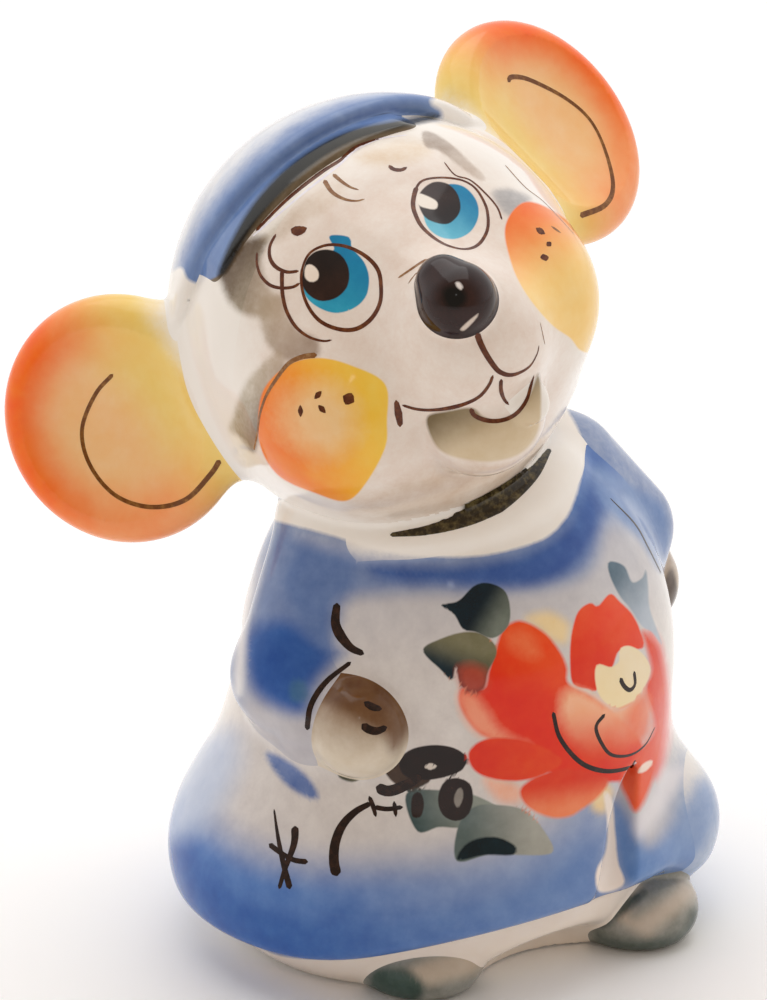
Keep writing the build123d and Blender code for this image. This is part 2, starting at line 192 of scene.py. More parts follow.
@dataclass(frozen=True)
class PhotoView:
    """The viewing direction of the photograph, as a long lens on a plain camera."""

    azimuth_deg: float = -37.0
    elevation_deg: float = 22.0
    distance: float = 520.0
    middle_height: float = 39.0
    middle_px: Span = (437.0, 521.0)
    focal_px: float = 5664.0
    sensor_height: float = 36.0
    clip_start: float = 0.05
    clip_end: float = 20.0

    @property
    def axes(self) -> tuple[Array, Array, Array]:
        """Directions of the camera.

        Returns:
            Right, up and back.
        """
        turned, raised = math.radians(self.azimuth_deg), math.radians(self.elevation_deg)
        right = np.array((math.cos(turned), math.sin(turned), 0.0))
        level = math.cos(raised)
        back = np.array((math.sin(turned) * level, -math.cos(turned) * level, math.sin(raised)))
        return right, np.cross(back, right), back

    @property
    def pixel(self) -> float:
        """Size of a picture's pixel at the figurine."""
        return self.distance / self.focal_px

    @property
    def aim(self) -> Array:
        """The point in the middle of the picture.

        Returns:
            The place in millimetres.
        """
        right, up, _ = self.axes
        aside = (self.middle_px[0] - PHOTO_WIDTH / 2) * self.pixel
        below = (self.middle_px[1] - PHOTO_HEIGHT / 2) * self.pixel
        return np.array((0.0, 0.0, self.middle_height)) - aside * right + below * up

    @property
    def eye(self) -> Array:
        """Where the camera stands."""
        return self.aim + self.distance * self.axes[2]

    def project(self, points: Array) -> Array:
        """Find where places lie in the picture.

        Args:
            points: places, one a row.

        Returns:
            Their pixels, one a row.
        """
        right, up, back = self.axes
        away = points - self.eye
        depth = -(away @ back)
        across = PHOTO_WIDTH / 2 + self.focal_px * (away @ right) / depth
        down = PHOTO_HEIGHT / 2 - self.focal_px * (away @ up) / depth
        return np.stack((across, down), axis=1)

    def rays(self, pixels: Array) -> Array:
        """Find the lines of sight through pixels.

        Args:
            pixels: pixels, one a row.

        Returns:
            Their directions from the eye, one a row.
        """
        right, up, back = self.axes
        across = np.outer(pixels[:, 0] - PHOTO_WIDTH / 2, right)
        over = np.outer(PHOTO_HEIGHT / 2 - pixels[:, 1], up)
        return unit(across + over - self.focal_px * back)

    def place(self) -> None:
        """Make the camera and set it as the scene's."""
        data = bpy.data.cameras.new("photo_camera")
        data.sensor_fit = "VERTICAL"
        data.sensor_height = self.sensor_height
        data.lens = self.focal_px / PHOTO_HEIGHT * self.sensor_height
        data.clip_start = self.clip_start
        data.clip_end = self.clip_end
        camera = bpy.data.objects.new("photo_camera", data)
        right, up, back = self.axes
        rows = [[right[row], up[row], back[row], self.eye[row] * MM] for row in range(3)]
        camera.matrix_world = Matrix(rows + [[0, 0, 0, 1]])
        bpy.context.scene.collection.objects.link(camera)
        bpy.context.scene.camera = camera


VIEW = PhotoView()


class ClayShape:
    """Pieces of clay that are joined to a core with fillets."""

    core: str
    fillets: dict[str, float]

    def fields(self, points: Array) -> dict[str, Array]:
        """Distance to each piece by name; every shape gives its own."""
        raise NotImplementedError

    def surface(self, points: Array) -> Array:
        """Distance to all the pieces joined.

        Args:
            points: places, one a row.

        Returns:
            The distance of each place, below 0 inside.
        """
        fields = self.fields(points)
        whole = fields[self.core]
        for name, width in self.fillets.items():
            whole = soft_min(whole, fields[name], width)
        return whole


@dataclass
class HeadShape(ClayShape):
    """Head with face, cap, fringe and ears, in the head's own directions: front -Y, left +X, top +Z."""

    turn_deg: float = -25.4
    look_up_deg: float = -28.8
    tilt_deg: float = -30.1
    skull_radii: Place = (18.6, 18.7, 18.2)
    skull_centre: Place = (0.0, 0.5, 1.0)
    cheek_radius: float = 7.2
    left_cheek: Place = (7.8, -10.6, -4.4)
    right_cheek: Place = (-10.4, -9.4, -4.2)
    jaw_radius: float = 16.2
    jaw: Place = (-2.2, -1.0, -1.6)
    muzzle_radii: Place = (6.9, 7.2, 6.8)
    muzzle_centre: Place = (0.7, -17.3, -5.2)
    bridge_root: Place = (0.2, -14.6, 2.2)
    bridge_tip: Place = (0.2, -20.6, -2.2)
    bridge_radii: Span = (4.6, 3.8)
    lip_radii: Place = (5.4, 5.0, 4.6)
    lip_centre: Place = (-1.5, -14.5, -12.0)
    teeth_radii: Place = (2.1, 1.4, 2.6)
    teeth_centre: Place = (1.3, -18.9, -12.1)
    nose_middle: Place = (0.2, -23.9, -2.0)
    nose_top: Place = (0.2, -23.4, 0.0)
    nose_radii: Span = (3.4, 2.4)
    cap_radii: Place = (19.6, 19.9, 19.6)
    cap_centre: Place = (0.4, 0.8, 1.7)
    cap_tilt_deg: float = 36.0
    cap_edge: float = 8.4
    cap_rounding: float = 1.6
    fringe_proud: float = 0.55
    fringe_width: float = 3.6
    fringe_reach: Span = (-13.2, 10.5)
    fringe_overlap: float = 1.0
    fringe_foot_edge: float = 0.5
    fringe_top_edge: float = 0.3
    fringe_end_edge: float = 2.0
    fringe_front_edge: float = 1.0
    jaw_fillet: float = 1.0
    cheek_fillet: float = 5.0
    bridge_fillet: float = 3.0
    ear_dish_edge: float = 0.6
    ear_radius: float = 11.5
    ear_rim: float = 2.5
    ear_front: float = 0.9
    ear_back: float = 3.1
    ear_centre: Place = (23.7, 7.8, 7.2)
    ear_sweep_deg: float = 36.0

    def __post_init__(self) -> None:
        """Place the head where the frame has it."""
        low, high = box_of("head_back")
        skull = (high[0] - low[0]) / 2
        self.axes = turn("Z", self.turn_deg) @ turn("X", self.look_up_deg) @ turn("Y", self.tilt_deg)
        centre = np.array(((low[0] + high[0]) / 2, high[1] - skull, high[2] - skull))
        self.middle = centre - self.axes @ np.array(self.skull_centre)

    def local(self, points: Array) -> Array:
        """Places in the head's own directions."""
        return (points - self.middle) @ self.axes

    def ear_local(self, places: Array, side: int) -> Array:
        """Head-local places in an ear's own directions, its face to -Y."""
        centre = np.array((side * self.ear_centre[0], self.ear_centre[1], self.ear_centre[2]))
        return (places - centre) @ turn("Z", side * self.ear_sweep_deg)

    def ear(self, places: Array, side: int) -> Array:
        """Distance to a round dished ear.

        Args:
            places: places in the head's own directions.
            side: 1 for the mouse's left ear and -1 for the right.

        Returns:
            The distance of each place, below 0 inside.
        """
        at = self.ear_local(places, side)
        out = np.hypot(at[:, 0], at[:, 2])
        crest = self.ear_radius - self.ear_rim
        share = np.clip(out / crest, 0, 1) ** 2
        front = -(self.ear_front + (self.ear_rim - self.ear_front) * share) - at[:, 1]
        back = at[:, 1] - (self.ear_back + (self.ear_rim - self.ear_back) * share)
        rim = np.hypot(out - crest, at[:, 1]) - self.ear_rim
        return np.where(out < crest, soft_max(front, back, self.ear_dish_edge), rim)

    def cap_height(self, places: Array) -> Array:
        """Height above the head's middle along the cap's own axis."""
        lean = math.radians(self.cap_tilt_deg)
        return places[:, 1] * math.sin(lean) + places[:, 2] * math.cos(lean)

    def fields(self, points: Array) -> dict[str, Array]:
        """Distance to each piece of the head.

        Args:
            points: places, one a row.

        Returns:
            The distances by the piece's name.
        """
        at = self.local(points)
        skull = ellipsoid(at, self.skull_centre, self.skull_radii)
        shell = soft_min(skull, ellipsoid(at, self.jaw, (self.jaw_radius,) * 3), self.jaw_fillet)
        for cheek in (self.left_cheek, self.right_cheek):
            shell = soft_min(shell, ellipsoid(at, cheek, (self.cheek_radius,) * 3), self.cheek_fillet)
        muzzle = ellipsoid(at, self.muzzle_centre, self.muzzle_radii)
        bridge = round_cone(at, self.bridge_root, self.bridge_tip, *self.bridge_radii)
        height = self.cap_height(at)
        cap = ellipsoid(at, self.cap_centre, self.cap_radii)
        band = skull - self.fringe_proud
        band = soft_max(band, self.cap_edge - self.fringe_width - height, self.fringe_foot_edge)
        band = soft_max(band, height - self.cap_edge - self.fringe_overlap, self.fringe_top_edge)
        band = soft_max(band, self.fringe_reach[0] - at[:, 0], self.fringe_end_edge)
        band = soft_max(band, at[:, 0] - self.fringe_reach[1], self.fringe_end_edge)
        band = soft_max(band, at[:, 1], self.fringe_front_edge)
        return {
            "head_shell": shell,
            "muzzle": soft_min(muzzle, bridge, self.bridge_fillet),
            "lower_lip": ellipsoid(at, self.lip_centre, self.lip_radii),
            "front_teeth": ellipsoid(at, self.teeth_centre, self.teeth_radii),
            "ear_left": self.ear(at, 1),
            "ear_right": self.ear(at, -1),
            "fringe": band,
            "cap": soft_max(cap, self.cap_edge - height, self.cap_rounding),
            "nose": round_cone(at, self.nose_middle, self.nose_top, *self.nose_radii),
        }

    core = "head_shell"
    fillets = {
        "muzzle": 4.0,
        "lower_lip": 1.6,
        "front_teeth": 0.5,
        "ear_left": 3.6,
        "ear_right": 3.6,
        "fringe": 0.4,
        "cap": 0.4,
        "nose": 0.7,
    }


@dataclass
class BodyShape(ClayShape):
    """Coat with its collar, sleeves, paws, feet, plinth and tail, in the row's own directions."""

    skirt_heights: Numbers = (0.0, 1.5, 4.3, 8.1, 12.0, 15.2, 18.4, 21.7, 24.9, 28.0)
    skirt_shares: Numbers = (0.83, 0.895, 0.965, 1.0, 0.97, 0.905, 0.825, 0.75, 0.67, 0.58)
    torso_radii: Place = (20.0, 20.0, 23.8)
    torso_centre: Place = (1.6, -1.2, 26.0)
    collar_radii: Place = (14.0, 14.0, 4.4)
    collar_centre: Place = (-1.2, -0.6, 43.6)
    collar_turn_deg: float = -37.0
    collar_tilt_deg: float = -7.0
    collar_tip_deg: float = 4.3
    plinth_inset: float = 2.5
    plinth_height: float = 4.3
    right_arm: tuple[Place, ...] = ((-11.4, -0.5, 40.6), (-17.3, -1.1, 28.7), (-17.0, -5.0, 26.9))
    left_arm: tuple[Place, ...] = ((12.1, -2.7, 41.7), (18.2, -3.9, 35.2))
    shoulder_radius: float = 5.9
    elbow_radius: float = 5.3
    wrist_radius: float = 5.0
    right_paw: Place = (-15.8, -9.5, 26.2)
    left_paw: tuple[Place, ...] = ((18.9, -3.3, 32.5), (20.8, -2.5, 28.6))
    paw_radius: float = 4.8
    foot_radii: Place = (6.0, 6.7, 4.3)
    left_foot: Place = (11.5, -15.0, 2.6)
    right_foot: Place = (-10.6, -11.0, 2.6)
    flap_radii: Place = (6.0, 5.4, 6.5)
    flap_centre: Place = (15.9, -13.2, 9.3)
    arch_radii: Place = (10.5, 9.6, 5.0)
    arch_x: float = -0.8
    opening_top: Place = (7.0, -19.0, 18.6)
    opening_foot: Place = (3.2, -23.6, 8.0)
    opening_radii: Span = (1.1, 2.4)
    lift_start: float = -11.0
    lift_deg: float = 20.0
    floor_edge: float = 0.5
    skirt_slope_share: float = 0.93
    hem_edge: float = 1.6
    skirt_top_edge: float = 2.0
    torso_foot_edge: float = 1.0
    torso_fillet: float = 5.0
    opening_edge: float = 0.8
    lift_rounding: float = 1.5
    plinth_overlap: float = 12.0
    plinth_top_edge: float = 0.6
    arch_edge: float = 1.2
    elbow_fillet: float = 1.5
    paw_root_inset: float = 0.5
    tail_radius: float = 2.5
    tail_thinning_share: float = 0.66
    tail_fillet: float = 1.0
    tail_points: tuple[Place, ...] = (
        (-3.9, 21.0, 8.0),
        (0.6, 22.9, 6.9),
        (7.0, 22.0, 6.9),
        (13.6, 19.0, 7.4),
        (19.6, 14.4, 9.4),
        (23.4, 8.9, 12.4),
        (23.9, 7.2, 14.8),
    )

    def __post_init__(self) -> None:
        """Take the hem's size from the frame."""
        low, high = box_of("coat_body")
        self.half_width = (high[0] - low[0]) / 2
        self.half_depth = -low[1]
        self.profile = rounded_table(self.skirt_heights, self.skirt_shares)

    def skirt(self, points: Array, inset: float) -> Array:
        """Distance to the flared skirt.

        Args:
            points: places, one a row.
            inset: how far the skirt is drawn in.

        Returns:
            The distance of each place, below 0 inside.
        """
        out = np.hypot(points[:, 0] / self.half_width, points[:, 1] / self.half_depth)
        width = np.interp(points[:, 2], *self.profile)
        reach = np.hypot(points[:, 0], points[:, 1]) / np.maximum(out, TINY)
        return (out - width) * reach * self.skirt_slope_share + inset

    def hem_height(self, points: Array) -> Array:
        """Height of the coat's lower edge, which rises towards the front."""
        rise = (self.lift_start - points[:, 1]) * math.tan(math.radians(self.lift_deg))
        return self.plinth_height + soft_max(rise, np.zeros(len(points)), self.lift_rounding)

    def fields(self, points: Array) -> dict[str, Array]:
        """Distance to each piece of the body.

        Args:
            points: places, one a row.

        Returns:
            The distances by the piece's name.
        """
        height = points[:, 2]
        torso = ellipsoid(points, self.torso_centre, self.torso_radii)
        hem = self.hem_height(points)
        coat = soft_max(self.skirt(points, 0.0), hem - height, self.hem_edge)
        coat = soft_max(coat, height - self.skirt_heights[-1], self.skirt_top_edge)
        torso = soft_max(torso, self.plinth_height - height, self.torso_foot_edge)
        coat = soft_min(coat, torso, self.torso_fillet)
        opening = round_cone(points, self.opening_top, self.opening_foot, *self.opening_radii)
        coat = soft_max(coat, -opening, self.opening_edge)
        turned = turn("Z", self.collar_turn_deg) @ turn("Y", self.collar_tilt_deg)
        turned = turned @ turn("X", self.collar_tip_deg)
        collar = ellipsoid((points - np.array(self.collar_centre)) @ turned, (0, 0, 0), self.collar_radii)
        arch = ellipsoid(points, (self.arch_x, -self.half_depth, 0.0), self.arch_radii)
        plinth = self.skirt(points, self.plinth_inset)
        plinth = soft_max(plinth, height - hem - self.plinth_overlap, self.plinth_top_edge)
        plinth = soft_max(plinth, -arch, self.arch_edge)
        paw_root = self.paw_radius - self.paw_root_inset
        shoulder, elbow, wrist = self.right_arm
        right = round_cone(points, shoulder, elbow, self.shoulder_radius, self.elbow_radius)
        forearm = round_cone(points, elbow, wrist, self.elbow_radius, self.wrist_radius)
        return {
            "coat_body": coat,
            "plinth": plinth,
            "collar": collar,
            "sleeve_right": soft_min(right, forearm, self.elbow_fillet),
            "sleeve_left": round_cone(points, *self.left_arm, self.shoulder_radius, self.elbow_radius),
            "coat_flap": ellipsoid(points, self.flap_centre, self.flap_radii),
            "foot_left": ellipsoid(points, self.left_foot, self.foot_radii),
            "foot_right": ellipsoid(points, self.right_foot, self.foot_radii),
            "paw_left": round_cone(points, *self.left_paw, paw_root, self.paw_radius),
            "paw_right": ellipsoid(points, self.right_paw, (self.paw_radius,) * 3),
            "tail": self.tail(points),
        }

    def tail(self, points: Array) -> Array:
        """Distance to the tapering tail.

        Args:
            points: places, one a row.

        Returns:
            The distance of each place, below 0 inside.
        """
        count = len(self.tail_points) - 1
        shares = [1 - self.tail_thinning_share * number / count for number in range(count + 1)]
        thick = [self.tail_radius * share for share in shares]
        whole = np.full(len(points), FAR)
        for number in range(count):
            start, end = self.tail_points[number:number + 2]
            run = round_cone(points, start, end, *thick[number:number + 2])
            whole = soft_min(whole, run, self.tail_fillet)
        return whole

    core = "coat_body"
    fillets = {
        "plinth": 0.5,
        "collar": 0.9,
        "sleeve_right": 2.6,
        "sleeve_left": 2.6,
        "coat_flap": 3.0,
        "foot_left": 0.7,
        "foot_right": 0.7,
        "paw_left": 0.6,
        "paw_right": 0.6,
        "tail": 0.8,
    }

    def surface(self, points: Array) -> Array:
        """Distance to all the pieces joined, cut flat on the floor."""
        return soft_max(super().surface(points), -points[:, 2], self.floor_edge)


class SurfaceNet:
    """A quad mesh on the zero surface of a distance field."""

    coarse = 4
    near_share = 1.9
    batch = 400000
    passes = 3

    def __init__(self, field: Field, low: Array, high: Array, cell: float) -> None:
        """Mesh a field inside a box.

        Args:
            field: function from places to distances.
            low: lowest corner of the box.
            high: highest corner of the box.
            cell: length of a cell's side.
        """
        self.field = field
        self.cell = cell
        self.low = np.array(low, float)
        steps = np.ceil((np.array(high) - self.low) / cell / self.coarse).astype(int)
        values = self._sample(steps)
        self.points, self.quads = self._net(values)
        for _ in range(self.passes):
            self._project()
        for _ in range(self.passes):
            self._relax()
            self._project()
        self.normals = self.gradient(self.points)
        self._face_out()

    def _sample(self, steps: Array) -> Array:
        """Work out the field on the fine grid, only near the surface.

        Args:
            steps: coarse steps along each axis.

        Returns:
            The field's values on the grid.
        """
        far = self.cell * self.coarse
        ranges = [self.low[axis] + far * np.arange(steps[axis] + 1) for axis in range(3)]
        grid = np.stack(np.meshgrid(*ranges, indexing="ij"), axis=-1)
        rough = self.field(grid.reshape(-1, 3)).reshape(grid.shape[:3])
        near = np.abs(rough) < far * self.near_share
        fine_shape = steps * self.coarse + 1
        half = self.coarse // 2
        index = [np.minimum((np.arange(n) + half) // self.coarse, s) for n, s in zip(fine_shape, steps)]
        values = np.sign(rough[np.ix_(*index)]) * far
        wanted = near[np.ix_(*index)]
        where = np.argwhere(wanted)
        result = np.empty(len(where))
        for start in range(0, len(where), self.batch):
            part = slice(start, start + self.batch)
            result[part] = self.field(self.low + where[part] * self.cell)
        values[wanted] = result
        for axis in range(3):
            for side in (0, -1):
                face = [slice(None)] * 3
                face[axis] = side
                values[tuple(face)] = far
        return values

    def _net(self, values: Array) -> tuple[Array, Array]:
        """Put a point in each cell that the surface crosses.

        Args:
            values: the field's values on the grid.

        Returns:
            The points, and the quads between them.
        """
        inside = values < 0
        corners = [(i, j, k) for i in (0, 1) for j in (0, 1) for k in (0, 1)]
        size = np.array(values.shape) - 1
        cut = [tuple(slice(c, c + n) for c, n in zip(corner, size)) for corner in corners]
        count = sum(inside[part].astype(np.int8) for part in cut)
        cells = np.argwhere((count > 0) & (count < 8))
        number = np.full(tuple(size), -1, np.int64)
        number[tuple(cells.T)] = np.arange(len(cells))
        at_corner = [values[tuple((cells + np.array(corner)).T)] for corner in corners]
        total = np.zeros((len(cells), 3))
        crossings = np.zeros(len(cells))
        for a, first in enumerate(corners):
            for b, second in enumerate(corners):
                if b <= a or sum(abs(x - y) for x, y in zip(first, second)) != 1:
                    continue
                crosses = (at_corner[a] < 0) != (at_corner[b] < 0)
                gap = at_corner[a] - at_corner[b]
                share = np.where(crosses, at_corner[a] / np.where(gap == 0, 1, gap), 0)
                place = np.array(first) + share[:, None] * (np.array(second) - np.array(first))
                total += np.where(crosses[:, None], place, 0)
                crossings += crosses
        points = self.low + (cells + total / crossings[:, None]) * self.cell
        quads = []
        for axis in range(3):
            ahead = [slice(None)] * 3
            behind = [slice(None)] * 3
            ahead[axis] = slice(1, None)
            behind[axis] = slice(None, -1)
            change = np.argwhere(inside[tuple(ahead)] != inside[tuple(behind)])
            one, two = (other for other in range(3) if other != axis)
            ring = []
            for step_one, step_two in ((-1, -1), (0, -1), (0, 0), (-1, 0)):
                cell = change.copy()
                cell[:, one] += step_one
                cell[:, two] += step_two
                ring.append(number[tuple(cell.T)])
            quads.append(np.stack(ring, axis=1))
        return points, np.concatenate(quads)

    def gradient(self, points: Array) -> Array:
        """Outward unit normals of the field at places."""
        return unit(slope_of(self.field, points))

    def _project(self) -> None:
        """Move each point onto the surface."""
        step = np.clip(self.field(self.points), -self.cell, self.cell)
        self.points = self.points - self.gradient(self.points) * step[:, None]

    def _relax(self) -> None:
        """Even out the spacing of the points."""
        ends = np.concatenate([self.quads[:, (side, (side + 1) % 4)] for side in range(4)])
        count = np.bincount(ends[:, 0], minlength=len(self.points))
        for axis in range(3):
            total = np.bincount(ends[:, 0], self.points[ends[:, 1], axis], len(self.points))
            mean = total / np.maximum(count, 1)
            own = self.points[:, axis]
            self.points[:, axis] = (own + np.where(count > 0, mean, own)) / 2

    def _face_out(self) -> None:
        """Turn each quad so that it faces outwards."""
        corner = self.points[self.quads]
        facing = np.cross(corner[:, 2] - corner[:, 0], corner[:, 3] - corner[:, 1])
        outward = self.normals[self.quads].sum(axis=1)
        inward = (facing * outward).sum(axis=1) < 0
        self.quads[inward] = self.quads[inward][:, ::-1]


@dataclass
class Piece:
    """One piece of the figurine: its own stretch of a net, with a wall behind it."""

    name: str
    points: Array
    normals: Array
    quads: Array
    wall: float


WALL = 0.8
BORDER_PASSES = 2
BORDER_MOVE_SHARE = 0.45
LEAST_SLOPE2 = 0.05


def split_net(net: SurfaceNet, fields: Fields, keep: Array, walls: dict[str, float]) -> dict[str, Piece]:
    """Divide a net among the pieces whose fields are nearest.

    Args:
        net: the net.
        fields: function from places to each piece's distances.
        keep: which of the net's quads to keep.
        walls: wall thickness of each piece.

    Returns:
        The pieces by name.
    """
    quads = net.quads[keep]
    middles = net.points[quads].mean(axis=1)
    found = fields(middles)
    names = list(found)
    label = np.argmin(np.stack([found[name] for name in names]), axis=0)
    owner = np.full((len(net.points), 2), -1)
    np.maximum.at(owner[:, 0], quads.ravel(), np.repeat(label, 4))
    lowest = np.full(len(net.points), len(names))
    np.minimum.at(lowest, quads.ravel(), np.repeat(label, 4))
    shared = np.flatnonzero((owner[:, 0] > lowest) & (lowest < len(names)))
    first, second = owner[shared, 0], lowest[shared]
    rows = np.arange(len(shared))

    def gap(points: Array) -> Array:
        """Difference between the distances to the two pieces that meet at each shared point."""
        stack = np.stack(list(fields(points).values()))
        return stack[first, rows] - stack[second, rows]

    for _ in range(BORDER_PASSES):
        places = net.points[shared]
        slope = slope_of(gap, places)
        normal = net.normals[shared]
        slope -= (slope * normal).sum(axis=1)[:, None] * normal
        steep = np.maximum((slope**2).sum(axis=1), LEAST_SLOPE2)
        move = -slope * (gap(places) / steep)[:, None]
        far = np.linalg.norm(move, axis=1)
        move *= np.minimum(1, BORDER_MOVE_SHARE * net.cell / np.maximum(far, TINY))[:, None]
        net.points[shared] = places + move
        offset = np.clip(net.field(net.points[shared]), -net.cell, net.cell)
        net.points[shared] -= net.normals[shared] * offset[:, None]
        net.normals[shared] = net.gradient(net.points[shared])
    pieces = {}
    for number, name in enumerate(names):
        own = quads[label == number]
        if len(own) == 0:
            log.warning("piece %s has no surface of its own", name)
            continue
        used, place = np.unique(own, return_inverse=True)
        wall = walls.get(name, WALL)
        pieces[name] = Piece(name, net.points[used], net.normals[used], place.reshape(-1, 4), wall)
    return pieces


class Layer(Enum):
    """The order in which paint lies on the body."""

    UNDER = "under"
    LOWER = "lower"
    MIDDLE = "middle"
    UPPER = "upper"
    TOP = "top"


@dataclass
class Coating:
    """The paint on a piece's points: a soft wash and layers of brushed shapes."""

    count: int
    bare_edge: float = 20.0
    least_amount: float = 1e-6

    def __post_init__(self) -> None:
        """Start with bare clay."""
        self.wash = np.zeros((self.count, 3))
        self.wash_amount = np.zeros(self.count)
        self.tints = {layer: np.zeros((self.count, 3)) for layer in Layer}
        self.edges = {layer: np.full(self.count, self.bare_edge) for layer in Layer}
        self.covers = {layer: np.ones(self.count) for layer in Layer}

    def lay_wash(self, colour: Array | Colour, amount: Array) -> None:
        """Brush a wash over what is there.

        Args:
            colour: one colour, or a colour for each point.
            amount: how thick the wash lies at each point, from 0 to 1.
        """
        colour = np.broadcast_to(np.array(colour), (self.count, 3))
        under = self.wash_amount * (1 - amount)
        total = np.maximum(under + amount, self.least_amount)
        self.wash = (self.wash * under[:, None] + colour * amount[:, None]) / total[:, None]
        self.wash_amount = under + amount

    def lay_shape(self, layer: Layer, colour: Array, edge: Array, cover: Array) -> None:
        """Add a brushed shape to a layer.

        Args:
            layer: the layer.
            colour: a colour for each point.
            edge: distance to the shape's edge, below 0 inside.
            cover: how thick the paint lies at each point, from 0 to 1.
        """
        inside = edge < self.edges[layer]
        self.tints[layer][inside] = np.broadcast_to(colour, (self.count, 3))[inside]
        self.covers[layer][inside] = np.broadcast_to(cover, self.count)[inside]
        self.edges[layer] = np.minimum(self.edges[layer], edge)

    def attributes(self) -> dict[str, Array]:
        """List the values that the glaze reads.

        Returns:
            The values of each point by name.
        """
        found = {"wash": self.wash, "wash_amount": self.wash_amount}
        for layer in Layer:
            found[f"{layer.value}_tint"] = self.tints[layer]
            found[f"{layer.value}_edge"] = self.edges[layer]
            found[f"{layer.value}_cover"] = self.covers[layer]
        return found


def make_mesh(name: str, points: Array, faces: Array, loop_normals: Array | None) -> bpy.types.Object:
    """Make a quad mesh object at the origin.

    Args:
        name: the object's name.
        points: places in millimetres.
        faces: four point numbers a row.
        loop_normals: a normal for each corner of each face, or None.

    Returns:
        The object.
    """
    mesh = bpy.data.meshes.new(name)
    mesh.vertices.add(len(points))
    mesh.vertices.foreach_set("co", (points * MM).astype(np.float32).ravel())
    mesh.loops.add(faces.size)
    mesh.loops.foreach_set("vertex_index", faces.ravel().astype(np.int32))
    mesh.polygons.add(len(faces))
    mesh.polygons.foreach_set("loop_start", (np.arange(len(faces)) * 4).astype(np.int32))
    mesh.update(calc_edges=True)
    mesh.polygons.foreach_set("use_smooth", np.ones(len(faces), bool))
    if loop_normals is not None:
        mesh.normals_split_custom_set(loop_normals.astype(np.float32))
    thing = bpy.data.objects.new(name, mesh)
    bpy.context.scene.collection.objects.link(thing)
    return thing


def shell_of(piece: Piece) -> tuple[Array, Array, Array]:
    """Close a piece's surface with a wall behind it.

    Args:
        piece: the piece.

    Returns:
        Points, quads and a normal for each corner.
    """
    quads = piece.quads
    count = len(piece.points)
    inner = piece.points - piece.normals * piece.wall
    edges = np.concatenate([quads[:, (side, (side + 1) % 4)] for side in range(4)])
    key = edges[:, 0] * count + edges[:, 1]
    back = edges[:, 1] * count + edges[:, 0]
    border = edges[~np.isin(key, back)]
    rim = np.stack((border[:, 1], border[:, 0], border[:, 0] + count, border[:, 1] + count), axis=1)
    points = np.concatenate((piece.points, inner))
    faces = np.concatenate((quads, quads[:, ::-1] + count, rim))
    corner = points[rim]
    flat = unit(np.cross(corner[:, 2] - corner[:, 0], corner[:, 3] - corner[:, 1]))
    normals = np.concatenate(
        (piece.normals[quads.ravel()], -piece.normals[quads[:, ::-1].ravel()], np.repeat(flat, 4, axis=0))
    )
    return points, faces, normals


def dress(piece: Piece, coating: Coating, material: Material) -> bpy.types.Object:
    """Make a piece's object with its paint and material, in the place of its frame node.

    Args:
        piece: the piece.
        coating: its paint.
        material: its glaze.

    Returns:
        The finished object.
    """
    points, faces, normals = shell_of(piece)
    thing = make_mesh(f"glazed_{piece.name}", points, faces, normals)
    for name, values in coating.attributes().items():
        both = np.concatenate((values, values)).astype(np.float32)
        kind, key = ("FLOAT", "value") if both.ndim == 1 else ("FLOAT_VECTOR", "vector")
        thing.data.attributes.new(name, kind, "POINT").data.foreach_set(key, both.ravel())
    thing.data.materials.append(material)
    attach(thing, ROOT_BODY)
    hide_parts(piece.name)
    log.info("%s: %d faces", thing.name, len(faces))
    return thing


class NodeSheet:
    """A material's node tree, with short calls for what the glazes need."""

    def __init__(self, name: str) -> None:
        """Start an empty material.

        Args:
            name: the material's name.
        """
        self.material = bpy.data.materials.new(name)
        self.material.use_nodes = True
        self.tree = self.material.node_tree
        self.tree.nodes.clear()
        self.output = self.add("ShaderNodeOutputMaterial")
        self.place = self.add("ShaderNodeTexCoord").outputs["Object"]

    def add(self, kind: str, **settings: str | bool) -> bpy.types.Node:
        """Add a node.

        Args:
            kind: the node's type.
            **settings: its settings by name.

        Returns:
            The node.
        """
        node = self.tree.nodes.new(kind)
        for key, value in settings.items():
            setattr(node, key, value)
        return node

    def feed(self, socket: Socket, value: Value) -> None:
        """Link a socket to another, or set its value.

        Args:
            socket: the socket that is fed.
            value: an output socket, a number or a colour.
        """
        if isinstance(value, Socket):
            self.tree.links.new(value, socket)
        else:
            socket.default_value = value

    def math(self, operation: str, first: Value, second: Value = 0.0, clamp: bool = False) -> Socket:
        """Add a math node.

        Args:
            operation: what it does.
            first: its first value.
            second: its second value.
            clamp: whether the result is kept between 0 and 1.

        Returns:
            The result's socket.
        """
        node = self.add("ShaderNodeMath", operation=operation, use_clamp=clamp)
        self.feed(node.inputs[0], first)
        self.feed(node.inputs[1], second)
        return node.outputs[0]

    def mix(self, share: Value, first: Value, second: Value) -> Socket:
        """Mix two colours.

        Args:
            share: how much of the second colour there is.
            first: the first colour.
            second: the second colour.

        Returns:
            The mixed colour's socket.
        """
        # Sockets 6 and 7 are the node's two colours, and output 2 is the mixed one
        node = self.add("ShaderNodeMix", data_type="RGBA")
        self.feed(node.inputs[0], share)
        self.feed(node.inputs[6], first)
        self.feed(node.inputs[7], second)
        return node.outputs[2]

    def noise(self, scale: float, detail: float = 3.0, roughness: float = 0.5) -> Socket:
        """Add noise in the object's own place.

        Args:
            scale: features a metre.
            detail: how many finer layers it has.
            roughness: how strong the finer layers are.

        Returns:
            The noise's socket.
        """
        node = self.add("ShaderNodeTexNoise")
        self.feed(node.inputs["Vector"], self.place)
        self.feed(node.inputs["Scale"], scale)
        self.feed(node.inputs["Detail"], detail)
        self.feed(node.inputs["Roughness"], roughness)
        return node.outputs["Fac"]

    def named(self, attribute: str, key: str) -> Socket:
        """Read a named value of the mesh."""
        return self.add("ShaderNodeAttribute", attribute_name=attribute).outputs[key]


